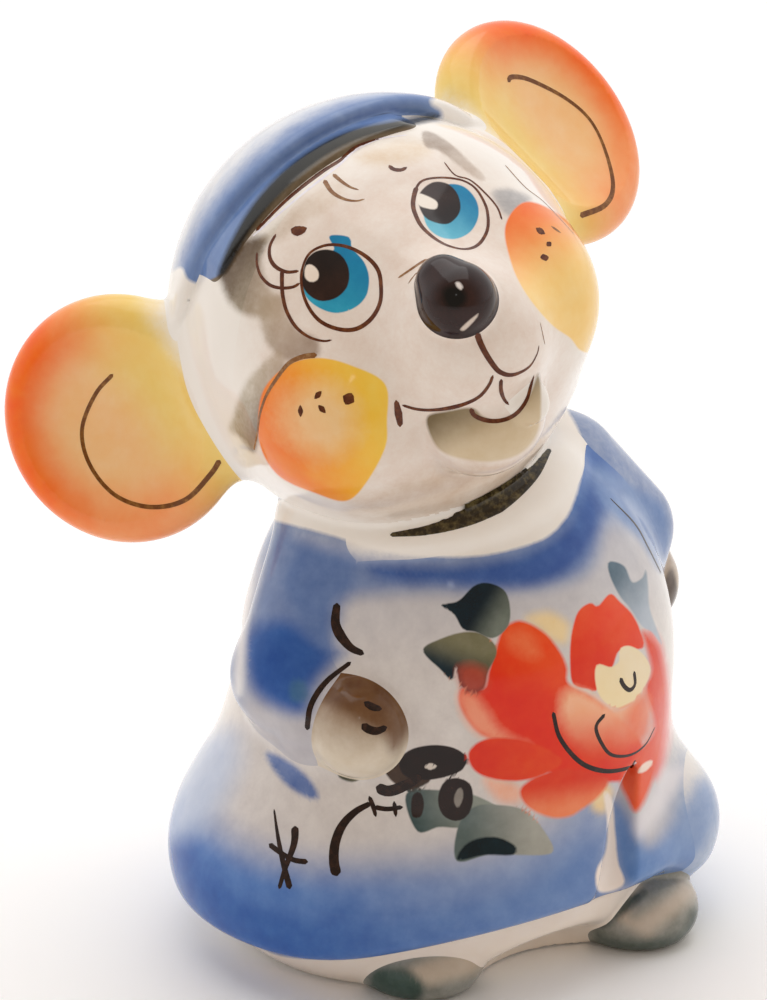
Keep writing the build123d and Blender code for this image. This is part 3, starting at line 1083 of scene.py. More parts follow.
# Roughness and refraction of the clear glaze
GLOSS = 0.11
GLAZE_IOR = 1.38


@dataclass(frozen=True)
class PaintedGlaze:
    """Underglaze paint on a white body below a clear gloss glaze."""

    name: str
    body: Colour = paint("F5F0EA")
    grain: float = 0.5
    wobble: float = 0.175
    gloss: float = GLOSS
    wave: float = 0.04
    wave_height: float = 0.002
    wave_scale: float = 140.0
    mottle_scale: float = 420.0
    mottle_share: float = 2.4
    grain_scale: float = 2600.0
    grain_share: float = 1.2
    cloud_scale: float = 90.0
    cloud_share: float = 0.6
    warmth: Colour = (0.985, 0.955, 0.92)

    def material(self) -> Material:
        """Build the material.

        Returns:
            The material.
        """
        sheet = NodeSheet(self.name)
        mottle = sheet.math("SUBTRACT", sheet.noise(self.mottle_scale, detail=4.0, roughness=0.6), 0.5)
        grains = sheet.math("SUBTRACT", sheet.noise(self.grain_scale, detail=2.0, roughness=0.6), 0.5)
        cloud = sheet.noise(self.cloud_scale, detail=3.0, roughness=0.55)
        cloud = sheet.math("MULTIPLY", cloud, self.cloud_share)
        warm = tuple(c * s for c, s in zip(self.body, self.warmth))
        colour = sheet.mix(cloud, (*self.body, 1), (*warm, 1))
        amount = sheet.named("wash_amount", "Fac")
        open_part = sheet.math("MULTIPLY", amount, sheet.math("SUBTRACT", 1.0, amount))
        coarse = sheet.math("MULTIPLY", mottle, self.mottle_share)
        ragged = sheet.math("ADD", coarse, sheet.math("MULTIPLY", grains, self.grain_share))
        amount = sheet.math("ADD", amount, sheet.math("MULTIPLY", ragged, open_part), clamp=True)
        depth = sheet.math("ADD", sheet.math("MULTIPLY", mottle, self.grain), 1.0)
        pigment = self._deepen(sheet, sheet.named("wash", "Vector"), depth)
        colour = sheet.mix(amount, colour, pigment)
        for layer in Layer:
            edge = sheet.named(f"{layer.value}_edge", "Fac")
            moved = sheet.math("ADD", edge, sheet.math("MULTIPLY", ragged, self.wobble))
            share = sheet.math("SUBTRACT", 0.5, moved, clamp=True)
            share = sheet.math("MULTIPLY", share, sheet.named(f"{layer.value}_cover", "Fac"))
            tint = self._deepen(sheet, sheet.named(f"{layer.value}_tint", "Vector"), depth)
            colour = sheet.mix(share, colour, tint)
        shader = sheet.add("ShaderNodeBsdfPrincipled")
        sheet.feed(shader.inputs["Base Color"], colour)
        sheet.feed(shader.inputs["Roughness"], self.gloss)
        sheet.feed(shader.inputs["IOR"], GLAZE_IOR)
        bump = sheet.add("ShaderNodeBump")
        sheet.feed(bump.inputs["Strength"], self.wave)
        sheet.feed(bump.inputs["Distance"], self.wave_height)
        sheet.feed(bump.inputs["Height"], sheet.noise(self.wave_scale, detail=2.0, roughness=0.4))
        sheet.feed(shader.inputs["Normal"], bump.outputs["Normal"])
        sheet.feed(sheet.output.inputs["Surface"], shader.outputs["BSDF"])
        return sheet.material

    @staticmethod
    def _deepen(sheet: NodeSheet, tint: Socket, depth: Socket) -> Socket:
        """Make a pigment thicker and thinner, as it settles from the brush.

        Args:
            sheet: the material's nodes.
            tint: the pigment.
            depth: how thick it lies; 1 leaves it as it is.

        Returns:
            The pigment's socket.
        """
        node = sheet.add("ShaderNodeGamma")
        sheet.feed(node.inputs["Color"], tint)
        sheet.feed(node.inputs["Gamma"], depth)
        return node.outputs["Color"]


def smooth_outline(pixels: Pixels, closed: bool, per_span: int = 7) -> Array:
    """Draw a smooth line through given photo pixels.

    Args:
        pixels: the points that the line passes, x and y in turn.
        closed: whether it returns to its start.
        per_span: steps between two points.

    Returns:
        The dense line, one point a row.
    """
    points = np.array(pixels, float).reshape(-1, 2)
    if closed:
        before, after, later = (np.roll(points, shift, axis=0) for shift in (1, -1, -2))
        starts = points
    else:
        padded = np.vstack((2 * points[0] - points[1], points, 2 * points[-1] - points[-2]))
        before, starts, after, later = padded[:-3], padded[1:-2], padded[2:-1], padded[3:]
    share = (np.arange(per_span) / per_span)[None, :, None]
    before, starts, after, later = (part[:, None, :] for part in (before, starts, after, later))
    line = 2 * starts + (after - before) * share
    line = line + (2 * before - 5 * starts + 4 * after - later) * share**2
    line = 0.5 * (line + (3 * starts - before - 3 * after + later) * share**3)
    line = line.reshape(-1, 2)
    return line if closed else np.vstack((line, points[-1]))


def outline_distance(at: Array, outline: Array) -> Array:
    """Distance to a closed outline.

    Args:
        at: pixels, one a row.
        outline: the outline's pixels, one a row.

    Returns:
        The distances in pixels, below 0 inside.
    """
    nearest = np.full(len(at), np.inf)
    crossings = np.zeros(len(at), int)
    for start, end in zip(outline, np.roll(outline, -1, axis=0)):
        run = end - start
        share = np.clip(((at - start) @ run) / max(run @ run, TINY), 0, 1)
        nearest = np.minimum(nearest, np.hypot(*(at - start - share[:, None] * run).T))
        spans = (start[1] > at[:, 1]) != (end[1] > at[:, 1])
        rise = run[1] if run[1] != 0 else TINY
        crossings += spans & (at[:, 0] < (at[:, 1] - start[1]) * run[0] / rise + start[0])
    return np.where(crossings % 2 == 1, -nearest, nearest)


@dataclass(frozen=True)
class Patch:
    """A brushed shape, outlined in photo pixels, x and y in turn.

    The colour runs from first to last along the line from start_px to end_px. Softness is the width of the
    edge in pixels. Cover is how thick the paint lies at the line's start, and last_cover at its end.
    """

    pieces: tuple[str, ...]
    outline: Pixels
    first: str
    last: str = ""
    start_px: Span = (0.0, 0.0)
    end_px: Span = (0.0, 0.0)
    softness: float = 1.2
    layer: Layer | None = Layer.UNDER
    cover: float = 1.0
    last_cover: float | None = None

    reach = 40.0
    least_facing = 0.02

    def lay(self, piece: Piece, coating: Coating) -> None:
        """Put the shape on a piece.

        Args:
            piece: the piece.
            coating: its paint.
        """
        if piece.name not in self.pieces:
            return
        facing = (piece.normals * unit(VIEW.eye - piece.points)).sum(axis=1)
        at = VIEW.project(piece.points)
        outline = smooth_outline(self.outline, closed=True)
        margin = self.reach + self.softness
        near = (facing > self.least_facing) & (at > outline.min(axis=0) - margin).all(axis=1)
        near &= (at < outline.max(axis=0) + margin).all(axis=1)
        if not near.any():
            return
        distance = np.full(coating.count, FAR)
        distance[near] = outline_distance(at[near], outline)
        run = np.array(self.end_px) - np.array(self.start_px)
        share = smooth_step(0, 1, ((at - np.array(self.start_px)) @ run) / max(run @ run, 1.0))
        first, last = np.array(paint(self.first)), np.array(paint(self.last or self.first))
        colour = first * (1 - share[:, None]) + last * share[:, None]
        last_cover = self.cover if self.last_cover is None else self.last_cover
        cover = self.cover * (1 - share) + last_cover * share
        if self.layer is None:
            amount = smooth_step(self.softness / 2, -self.softness / 2, distance)
            coating.lay_wash(colour, amount * cover)
        else:
            coating.lay_shape(self.layer, colour, distance / self.softness, cover)


FACE = ("head_front", "head_back", "muzzle", "lower_lip", "front_teeth")
BROW = (*FACE, "fringe")
HAT = (*BROW, "cap")
FEET = ("foot_left", "foot_right")
COAT = ("coat_body", "sleeve_right", "sleeve_left", "coat_flap", "plinth", "collar")

PATCHES = {
    "cap_front_blue": Patch(("cap", "fringe"), (
        186, 282, 214, 235, 244, 190, 280, 156, 320, 134, 354, 120, 393, 112, 430, 106, 433, 115,
        393, 123, 354, 131, 321, 146, 289, 169, 258, 203, 236, 238, 220, 274,
    ), "6D88BA", softness=2.4, layer=Layer.MIDDLE, cover=0.97),
    # Painted shadow: a near-black band along the cap's front edge, where the brim shades the hair below it
    "cap_edge_painted_shadow": Patch(HAT, (
        218, 272, 232, 239, 255, 201, 287, 167, 320, 144, 353, 129, 392, 121, 433, 114, 437, 119,
        400, 128, 363, 138, 331, 153, 299, 177, 268, 208, 247, 236, 229, 268, 222, 276,
    ), "0A0B09", "1A1D18", (230, 250), (420, 120),
        softness=5.0, layer=Layer.UPPER, cover=0.97, last_cover=0.9),
    "cap_right_end": Patch(("cap",), (
        150, 300, 178, 268, 188, 279, 200, 284, 212, 282, 222, 277, 232, 300, 220, 340, 190, 380,
        150, 380,
    ), "F5F0EA", softness=4.0, layer=Layer.TOP),
    "cap_left_end": Patch(("cap",), (
        438, 96, 432, 104, 440, 110, 442, 118, 434, 124, 440, 150, 520, 160, 560, 120, 500, 70,
    ), "F5F0EA", softness=6.0, layer=Layer.TOP),
    "temple_hair": Patch(BROW, (
        219, 270, 222, 258, 234, 246, 255, 237, 268, 238, 262, 262, 268, 285, 282, 300, 279, 318,
        262, 318, 240, 312, 227, 297,
    ), "5A4226", "95825E", (222, 262), (280, 312), softness=11.0, layer=None, cover=0.97, last_cover=0.75),
    "hair_beside_eye": Patch(FACE, (
        262, 300, 282, 297, 287, 313, 299, 330, 317, 340, 319, 355, 302, 358, 287, 360, 273, 351,
        262, 330,
    ), "8E7C58", "4A3820", (270, 305), (318, 352), softness=9.0, layer=None, cover=0.75, last_cover=0.95),
    "hair_beside_cheek": Patch(FACE, (
        230, 429, 240, 438, 253, 452, 260, 436, 264, 414, 273, 390, 285, 369, 280, 351, 269, 358,
        251, 376, 242, 390, 234, 414,
    ), "95845E", "5A462C", (232, 410), (262, 430), softness=9.0, layer=None, cover=0.65, last_cover=0.85),
    "brow_shade": Patch(FACE, (
        262, 238, 285, 214, 312, 194, 334, 178, 345, 186, 330, 208, 304, 222, 280, 240,
    ), "A48F6E", "C9B08C", (262, 238), (340, 185), softness=12.0, layer=None, cover=0.5, last_cover=0.3),
    # A darker, warmer wash over the front of the face: a warm tint of the glaze and painted shade of the less
    # lit front
    "face_tint_and_shade": Patch(("head_front", "muzzle", "lower_lip"), (
        262, 250, 330, 185, 420, 150, 500, 190, 560, 300, 570, 400, 540, 470, 460, 515, 380, 510,
        300, 490, 262, 400,
    ), "DDC2B0", softness=70.0, layer=None, cover=0.45),
    "forehead_shade": Patch(FACE, (
        355, 158, 385, 143, 415, 140, 430, 152, 410, 162, 380, 166,
    ), "D9BC92", softness=16.0, layer=None, cover=0.5),
    "grey_by_left_ear": Patch(FACE, (
        492, 192, 509, 189, 530, 198, 521, 207, 512, 216, 501, 210,
    ), "9A9A9E", softness=9.0, layer=None, cover=0.7),
    "grey_brow_band": Patch(FACE, (
        422, 132, 434, 133, 452, 145, 470, 162, 485, 177, 479, 180, 458, 165, 440, 151, 426, 147,
    ), "A08E80", "C2AF9F", (424, 135), (484, 178), softness=3.0, layer=None, cover=0.8, last_cover=0.7),
    "chin_shade": Patch(FACE, (
        430, 470, 470, 466, 515, 462, 540, 440, 548, 455, 520, 485, 480, 505, 430, 518, 380, 520,
        345, 505, 385, 492,
    ), "C9AE90", softness=26.0, layer=None, cover=0.5),
    "right_cheek": Patch(FACE, (
        258, 421, 264, 389, 288, 365, 318, 358, 350, 365, 385, 384, 387, 421, 385, 448, 366, 483,
        346, 501, 315, 493, 280, 477, 262, 451,
    ), "F4802A", "F9CC4C", (266, 440), (380, 400), softness=1.8),
    "right_cheek_middle": Patch(FACE, (
        292, 392, 325, 386, 352, 405, 350, 440, 322, 455, 292, 440, 282, 415,
    ), "F6D3A2", softness=34.0, layer=Layer.LOWER, cover=0.75),
    "left_cheek": Patch(FACE, (
        505, 228, 513, 268, 529, 298, 552, 325, 570, 338, 580, 350, 592, 352, 612, 340, 612, 270,
        585, 235, 548, 208, 522, 203,
    ), "F5782E", "FBD383", (508, 215), (552, 290), softness=2.0),
    "open_mouth": Patch(FACE, (
        428, 416, 429, 432, 441, 451, 468, 460, 495, 461, 521, 453, 537, 434, 541, 408, 539, 373,
        530, 394, 516, 413, 500, 420, 484, 417, 472, 408, 449, 411,
    ), "74613E", "D8C4A4", (450, 404), (474, 450), softness=3.0),
    "right_iris": Patch(FACE, (
        334, 250, 329, 237, 338, 235, 350, 238, 352, 248, 364, 262, 369, 278, 366, 296, 354, 308,
        335, 313, 316, 306, 304, 292, 305, 268, 318, 254,
    ), "2C9FC0", "0C7DAA", (330, 312), (360, 262), layer=Layer.LOWER),
    "left_iris": Patch(FACE, (
        451, 184, 466, 188, 477, 202, 478, 218, 470, 232, 455, 239, 438, 236, 426, 224, 424, 205,
        436, 190,
    ), "63BAD2", "0F83B2", (440, 238), (470, 198), layer=Layer.LOWER),
    "right_pupil": Patch(FACE, (
        303, 272, 307, 259, 317, 251, 331, 250, 343, 257, 349, 271, 347, 287, 336, 298, 321, 301,
        309, 295, 302, 284,
    ), "180B07", "2E1810", (320, 262), (335, 296), layer=Layer.MIDDLE),
    "left_pupil": Patch(FACE, (
        418, 200, 423, 189, 434, 182, 448, 184, 458, 195, 460, 211, 450, 223, 437, 223, 424, 216,
    ), "2E1810", "180B07", (436, 184), (452, 220), layer=Layer.MIDDLE),
    "right_eye_light": Patch(FACE, (
        306, 266, 312, 265, 318, 271, 318, 279, 311, 282, 305, 277,
    ), "F2E2D2", softness=1.4, layer=Layer.TOP),
    "left_eye_light": Patch(FACE, (
        418, 194, 427, 196, 437, 202, 436, 209, 426, 208, 418, 204,
    ), "F2E8DC", softness=1.4, layer=Layer.TOP),
    "nose_dark": Patch(("nose",), (
        443, 291, 452, 286, 463, 290, 466, 300, 458, 308, 447, 306,
    ), "020101", softness=6.0, layer=Layer.LOWER),
    # Painted glint: a pale spot on the nose where the light is reflected
    "nose_painted_glint": Patch(("nose",), (
        455, 283, 459, 282, 463, 287, 461, 290, 457, 287,
    ), "E8E0DC", softness=2.0, layer=Layer.TOP),
    # Painted highlight: a pale streak along the nose's lower right edge
    "nose_lower_painted_highlight": Patch(("nose",), (
        460, 330, 464, 325, 476, 315, 479, 314, 474, 321, 465, 330,
    ), "D8C8BC", softness=1.6, layer=Layer.TOP),
    # A greyish wash over the coat's front: a grey tint of the glaze and painted shade where the lower coat
    # gets less light
    "coat_front_tint_and_shade": Patch(COAT, (
        245, 560, 300, 540, 400, 565, 520, 560, 600, 520, 668, 560, 668, 700, 668, 860, 600, 930,
        440, 960, 280, 950, 205, 900, 176, 830, 200, 745, 240, 700,
    ), "CFC8C6", softness=40.0, layer=None, cover=0.75),
    "white_scarf": Patch(COAT, (
        258, 505, 272, 519, 300, 527, 330, 535, 365, 546, 400, 554, 440, 557, 480, 556, 518, 548,
        547, 537, 566, 518, 577, 492, 583, 463, 580, 434, 566, 405, 560, 370, 480, 380, 400, 430,
        300, 440, 255, 470,
    ), "F7F1EA", softness=4.0, layer=Layer.TOP),
    "shoulder_blue": Patch(COAT, (
        266, 530, 256, 580, 246, 630, 246, 664, 262, 695, 300, 712, 312, 700, 322, 676, 345, 655,
        334, 636, 336, 606, 356, 596, 420, 592, 480, 592, 545, 588, 590, 568, 604, 520, 606, 470,
        590, 470, 570, 520, 540, 542, 480, 560, 400, 562, 330, 548,
    ), "5F7FB6", softness=26.0, layer=None, cover=0.8),
    "cuff_blue": Patch(COAT, (
        244, 640, 266, 622, 292, 622, 316, 640, 330, 652, 326, 668, 308, 690, 302, 712, 276, 708,
        252, 688,
    ), "2456A4", softness=26.0, layer=None, cover=0.95),
    "sleeve_top_blue": Patch(COAT, (
        300, 548, 330, 552, 356, 568, 344, 612, 328, 644, 300, 624, 282, 580,
    ), "4A6CA8", softness=22.0, layer=None, cover=0.6),
    "yoke_edge_blue": Patch(COAT, (
        372, 566, 440, 566, 490, 562, 530, 552, 565, 528, 590, 486, 600, 520, 580, 560, 545, 582,
        500, 588, 440, 584, 385, 580,
    ), "1A4C9C", softness=20.0, layer=None, cover=0.8),
    # Painted highlight: a pale streak down the sleeve's left edge, where light from the side is reflected
    "sleeve_edge_painted_highlight": Patch(COAT, (
        236, 580, 250, 585, 246, 640, 243, 690, 234, 690, 236, 640,
    ), "F4F1F0", softness=10.0, layer=None, cover=0.8),
    "cuff_green": Patch(COAT, (
        292, 682, 304, 682, 308, 696, 300, 702, 290, 698,
    ), "4C7A90", softness=8.0, layer=None, cover=0.55),
    "dab_below_cuff": Patch(COAT, (
        267, 752, 290, 762, 310, 780, 318, 796, 308, 798, 288, 786, 272, 768,
    ), "2F5FA8", softness=7.0, layer=None, cover=0.85),
    "hem_blue": Patch(COAT, (
        130, 790, 165, 785, 200, 812, 250, 850, 320, 866, 400, 864, 470, 858, 540, 832, 600, 786,
        608, 810, 608, 860, 600, 1100, 130, 1100,
    ), "3E74BE", "7C96C6", (250, 900), (560, 870), softness=64.0, layer=None, cover=0.92, last_cover=0.85),
    "hem_deep_blue": Patch(COAT, (
        130, 835, 180, 838, 212, 872, 250, 900, 310, 914, 345, 908, 385, 915, 450, 905, 520, 885,
        575, 850, 606, 828, 606, 870, 560, 1100, 130, 1100,
    ), "2459A8", "5C82BE", (250, 920), (560, 880), softness=36.0, layer=None, cover=0.85, last_cover=0.7),
    "skirt_side_lavender": Patch(COAT, (
        200, 735, 232, 730, 240, 760, 225, 800, 196, 830, 172, 830, 176, 780,
    ), "BFCBE2", softness=40.0, layer=None, cover=0.9),
    "bare_plinth": Patch(("plinth",), (
        215, 925, 272, 953, 320, 959, 369, 953, 459, 937, 556, 907, 603, 860, 640, 850, 720, 900,
        640, 1000, 200, 1000,
    ), "F5E9DD", softness=3.0, layer=Layer.TOP),
    "left_sleeve_edge": Patch(COAT, (
        595, 470, 640, 490, 664, 510, 671, 545, 662, 572, 640, 540, 610, 508,
    ), "6D8BBD", softness=12.0, layer=None, cover=0.85),
    "yellow_above_flower": Patch(COAT, (
        526, 618, 548, 612, 568, 624, 566, 642, 552, 640, 538, 628,
    ), "F6D9A0", softness=14.0, layer=None, cover=0.9),
    "yellow_below_flower": Patch(COAT, (
        594, 786, 606, 782, 614, 796, 606, 812, 592, 808,
    ), "F6D79E", softness=12.0, layer=None, cover=0.9),
    "flower_side_pink": Patch(COAT, (
        648, 628, 660, 640, 668, 670, 672, 710, 668, 750, 658, 780, 650, 760, 656, 700, 650, 660,
    ), "EE6A62", softness=12.0, layer=None, cover=0.85),
    "upper_leaf": Patch(COAT, (
        441, 605, 458, 601, 474, 586, 488, 583, 504, 590, 510, 606, 508, 626, 493, 638, 476, 632,
        463, 629, 454, 614,
    ), "001A26", "70786E", (478, 606), (504, 622), softness=1.6, layer=Layer.MIDDLE),
    "middle_leaf": Patch(COAT, (
        423, 650, 443, 638, 465, 632, 482, 634, 495, 645, 496, 656, 488, 672, 484, 688, 472, 693,
        460, 684, 456, 664, 452, 680, 441, 670,
    ), "0C2632", "7A765A", (448, 672), (462, 640), softness=1.8, layer=Layer.LOWER),
    "red_on_leaf": Patch(COAT, (
        458, 668, 474, 664, 488, 672, 486, 690, 470, 694, 460, 684,
    ), "D9573A", softness=12.0, layer=Layer.TOP, cover=0.6),
    "side_leaf": Patch(COAT, (
        609, 562, 610, 576, 620, 596, 630, 608, 642, 626, 652, 632, 662, 644, 650, 610, 648, 586,
        646, 570, 642, 578, 632, 582, 624, 566,
    ), "566C7C", "B4BECA", (608, 572), (654, 612), softness=2.0),
    "twig_leaf": Patch(COAT, (
        406, 794, 417, 831, 439, 827, 465, 827, 500, 812, 474, 795, 440, 790,
    ), "3C4F50", "8D938A", (412, 828), (480, 800), softness=2.0),
    "lower_leaf": Patch(COAT, (
        458, 827, 474, 807, 498, 805, 526, 811, 547, 835, 552, 853, 521, 855, 493, 853, 457, 861,
    ), "5C6A68", "AAA9A0", (462, 840), (545, 830), softness=2.0, layer=Layer.LOWER),
    "lower_leaf_dark": Patch(COAT, (
        458, 860, 464, 846, 480, 838, 500, 838, 516, 847, 512, 855, 485, 855,
    ), "021A22", softness=2.4, layer=Layer.MIDDLE),
    "big_petal": Patch(COAT, (
        496, 648, 503, 630, 516, 621, 530, 624, 546, 634, 559, 650, 567, 667, 569, 684, 597, 700,
        640, 740, 640, 775, 600, 782, 560, 778, 530, 756, 500, 742, 480, 734, 466, 718, 459, 702,
        462, 688, 484, 688, 489, 670,
    ), "E62C04", "F2501E", (520, 712), (560, 650), softness=4.0),
    "big_petal_foot": Patch(COAT, (
        459, 702, 462, 690, 476, 694, 488, 712, 500, 730, 530, 746, 500, 742, 478, 734, 464, 718,
    ), "F7A583", softness=14.0, layer=Layer.LOWER, cover=0.8),
    "big_petal_top": Patch(COAT, (
        508, 640, 520, 632, 534, 640, 540, 655, 520, 655,
    ), "F5794A", softness=14.0, layer=Layer.LOWER, cover=0.8),
    "crown_petal": Patch(COAT, (
        570, 654, 572, 632, 578, 612, 590, 603, 598, 606, 610, 594, 620, 602, 632, 614, 640, 630,
        643, 648, 620, 650, 612, 668, 597, 690, 588, 689, 576, 686, 571, 678,
    ), "F04C22", "E4320A", (600, 605), (590, 680), softness=2.0, layer=Layer.MIDDLE),
    "side_petal": Patch(COAT, (
        642, 632, 652, 640, 660, 654, 666, 690, 667, 712, 660, 755, 649, 790, 636, 812, 626, 796,
        621, 778, 640, 750, 655, 727, 645, 690, 652, 668,
    ), "E4401A", "F0603A", (655, 690), (640, 800), softness=6.0, layer=Layer.LOWER),
    "middle_petal": Patch(COAT, (
        562, 696, 562, 722, 572, 742, 586, 756, 606, 762, 626, 758, 640, 742, 646, 722, 644, 702,
        640, 690, 626, 703, 608, 705, 592, 696, 574, 690,
    ), "FABF98", "E8481C", (596, 700), (600, 762),
        softness=16.0, layer=Layer.UPPER, cover=0.95, last_cover=0.8),
    "middle_petal_side": Patch(COAT, (
        630, 706, 645, 692, 652, 710, 648, 735, 636, 742, 626, 724,
    ), "EE6A3C", softness=12.0, layer=Layer.TOP, cover=0.7),
    "left_petal": Patch(COAT, (
        468, 756, 474, 745, 487, 739, 505, 738, 526, 741, 552, 752, 562, 763, 540, 776, 516, 781,
        490, 778, 474, 770,
    ), "E23008", "E84010", (470, 755), (550, 760), softness=3.0, layer=Layer.MIDDLE),
    "left_petal_foot": Patch(COAT, (
        484, 778, 510, 782, 522, 790, 518, 802, 498, 800,
    ), "F6AD8A", softness=14.0, layer=None, cover=0.8),
    "lower_petal": Patch(COAT, (
        520, 792, 526, 783, 540, 775, 564, 769, 600, 774, 608, 783, 598, 797, 584, 808, 568, 817,
        548, 817, 527, 806,
    ), "E23812", "F58A5C", (560, 780), (566, 812), softness=4.0, layer=Layer.LOWER),
    "flower_heart": Patch(COAT, (
        620, 649, 630, 646, 642, 653, 650, 666, 648, 680, 638, 696, 626, 706, 614, 707, 604, 701,
        597, 690, 595, 673, 598, 664, 611, 667, 619, 661,
    ), "F7E2B4", "F1DFBC", (602, 698), (640, 655), softness=1.6, layer=Layer.TOP),
    # Painted highlight: a small pale streak on the side petal
    "side_petal_painted_highlight": Patch(COAT, (
        638, 773, 641, 766, 650, 760, 653, 763, 646, 771,
    ), "F8E0D2", softness=2.0, layer=Layer.TOP),
    "twig_knot": Patch(COAT, (
        399, 762, 410, 750, 432, 745, 454, 748, 467, 758, 462, 770, 445, 777, 425, 780, 405, 776,
    ), "1C0A06", softness=1.4, layer=Layer.MIDDLE),
    "twig_knot_shade": Patch(COAT, (
        382, 760, 396, 752, 412, 762, 432, 778, 412, 790, 396, 784, 386, 774,
    ), "3F2C20", softness=2.0),
    "berry": Patch(COAT, (
        438, 800, 443, 783, 456, 778, 470, 784, 473, 800, 468, 815, 456, 821, 443, 815,
    ), "200D08", softness=1.4, layer=Layer.MIDDLE),
    "small_berry": Patch(COAT, (
        411, 806, 413, 795, 420, 792, 424, 803, 421, 816, 413, 817,
    ), "24120C", softness=1.4, layer=Layer.MIDDLE),
    # Painted glint: a pale dot on the dark knot where the gloss reflects the light
    "twig_knot_painted_glint": Patch(COAT, (
        424, 767, 430, 763, 437, 766, 431, 770,
    ), "D8CFC6", softness=1.4, layer=Layer.TOP),
    # Painted glint: a pale grey streak on the dark berry where the gloss reflects the light
    "berry_painted_glint": Patch(COAT, (
        454, 801, 456, 791, 462, 788, 463, 798, 458, 808,
    ), "8A837C", softness=1.6, layer=Layer.TOP),
    "leaf_below_hand": Patch(COAT, (
        338, 776, 344, 762, 358, 758, 371, 764, 364, 776, 352, 782,
    ), "4C4A38", "77725C", (340, 778), (368, 764), softness=2.0, layer=Layer.LOWER),
    "flap_blue": Patch(COAT, (
        612, 800, 614, 850, 624, 884, 650, 886, 690, 862, 714, 830, 716, 790, 700, 780, 676, 822,
        648, 846, 632, 820,
    ), "5C86C2", "93A9D0", (630, 870), (700, 800), softness=22.0, layer=None, cover=0.95, last_cover=0.9),
    # Painted highlight: a near-white streak along the fold of the flap
    "flap_painted_highlight": Patch(COAT, (
        664, 770, 684, 772, 662, 812, 640, 838, 634, 822, 650, 796,
    ), "F0ECF0", softness=16.0, layer=None, cover=0.7),
    "opening_white": Patch(COAT, (
        604, 792, 612, 800, 615, 830, 618, 862, 624, 884, 600, 892, 596, 872, 606, 850, 607, 820,
    ), "F3E6DC", softness=3.0, layer=Layer.TOP),
    "left_foot_beige": Patch(FEET, (
        632, 917, 670, 893, 684, 880, 698, 893, 663, 924, 642, 935, 600, 900, 640, 870,
    ), "CDBDAC", softness=18.0, layer=None, cover=0.85),
    "left_foot_dark": Patch(FEET, (
        594, 924, 606, 907, 632, 893, 646, 893, 634, 907, 617, 919, 606, 927,
    ), "34423E", softness=9.0, layer=None, cover=0.9),
    "left_foot_lower_dark": Patch(FEET, (
        596, 930, 615, 938, 649, 940, 680, 932, 692, 910, 702, 915, 690, 945, 650, 956, 600, 950,
    ), "4A5650", softness=12.0, layer=None, cover=0.85),
    "right_foot_beige": Patch(FEET, (
        412, 968, 446, 955, 492, 944, 480, 970, 450, 980, 424, 984,
    ), "CDBBA6", softness=16.0, layer=None, cover=0.85),
    "right_foot_dark": Patch(FEET, (
        372, 972, 396, 968, 416, 976, 424, 990, 409, 1006, 372, 1000,
    ), "2A463E", softness=12.0, layer=None, cover=0.9),
    "right_paw_brown": Patch(("paw_right",), (
        316, 676, 340, 660, 375, 662, 404, 684, 414, 712, 406, 738, 392, 752, 384, 736, 360, 722,
        336, 708, 318, 696,
    ), "6A4422", softness=18.0, layer=None, cover=0.9),
    # Painted glint: a white dot on the paw where the light is reflected
    "right_paw_painted_glint": Patch(("paw_right",), (
        405, 705, 411, 703, 415, 710, 411, 715, 406, 713,
    ), "F6EFE8", softness=2.0, layer=Layer.TOP),
    "left_paw_brown": Patch(("paw_left",), (
        671, 568, 677, 584, 680, 610, 676, 649, 666, 650, 664, 620, 662, 590,
    ), "4A3A33", softness=5.0, layer=None, cover=0.9),
}


class Brush(Enum):
    """The inks that the brush lines are drawn with."""

    FACE = "face"
    PALE = "face_pale"
    # White ink for the fringe's raised edge: thicker glaze there and a painted highlight along the edge
    RELIEF = "relief"
    EARS = "ears"
    # Dark ink for the crease under the chin: a brush line that also paints the crease's shadow
    CHIN = "chin"
    COAT = "coat"


@dataclass(frozen=True)
class Stroke:
    """A brushed line through photo pixels, x and y in turn, with its width at the start, middle and end."""

    brush: Brush
    line: Pixels
    widths: tuple[float, float, float] = (2.0, 3.0, 1.5)
    closed: bool = False


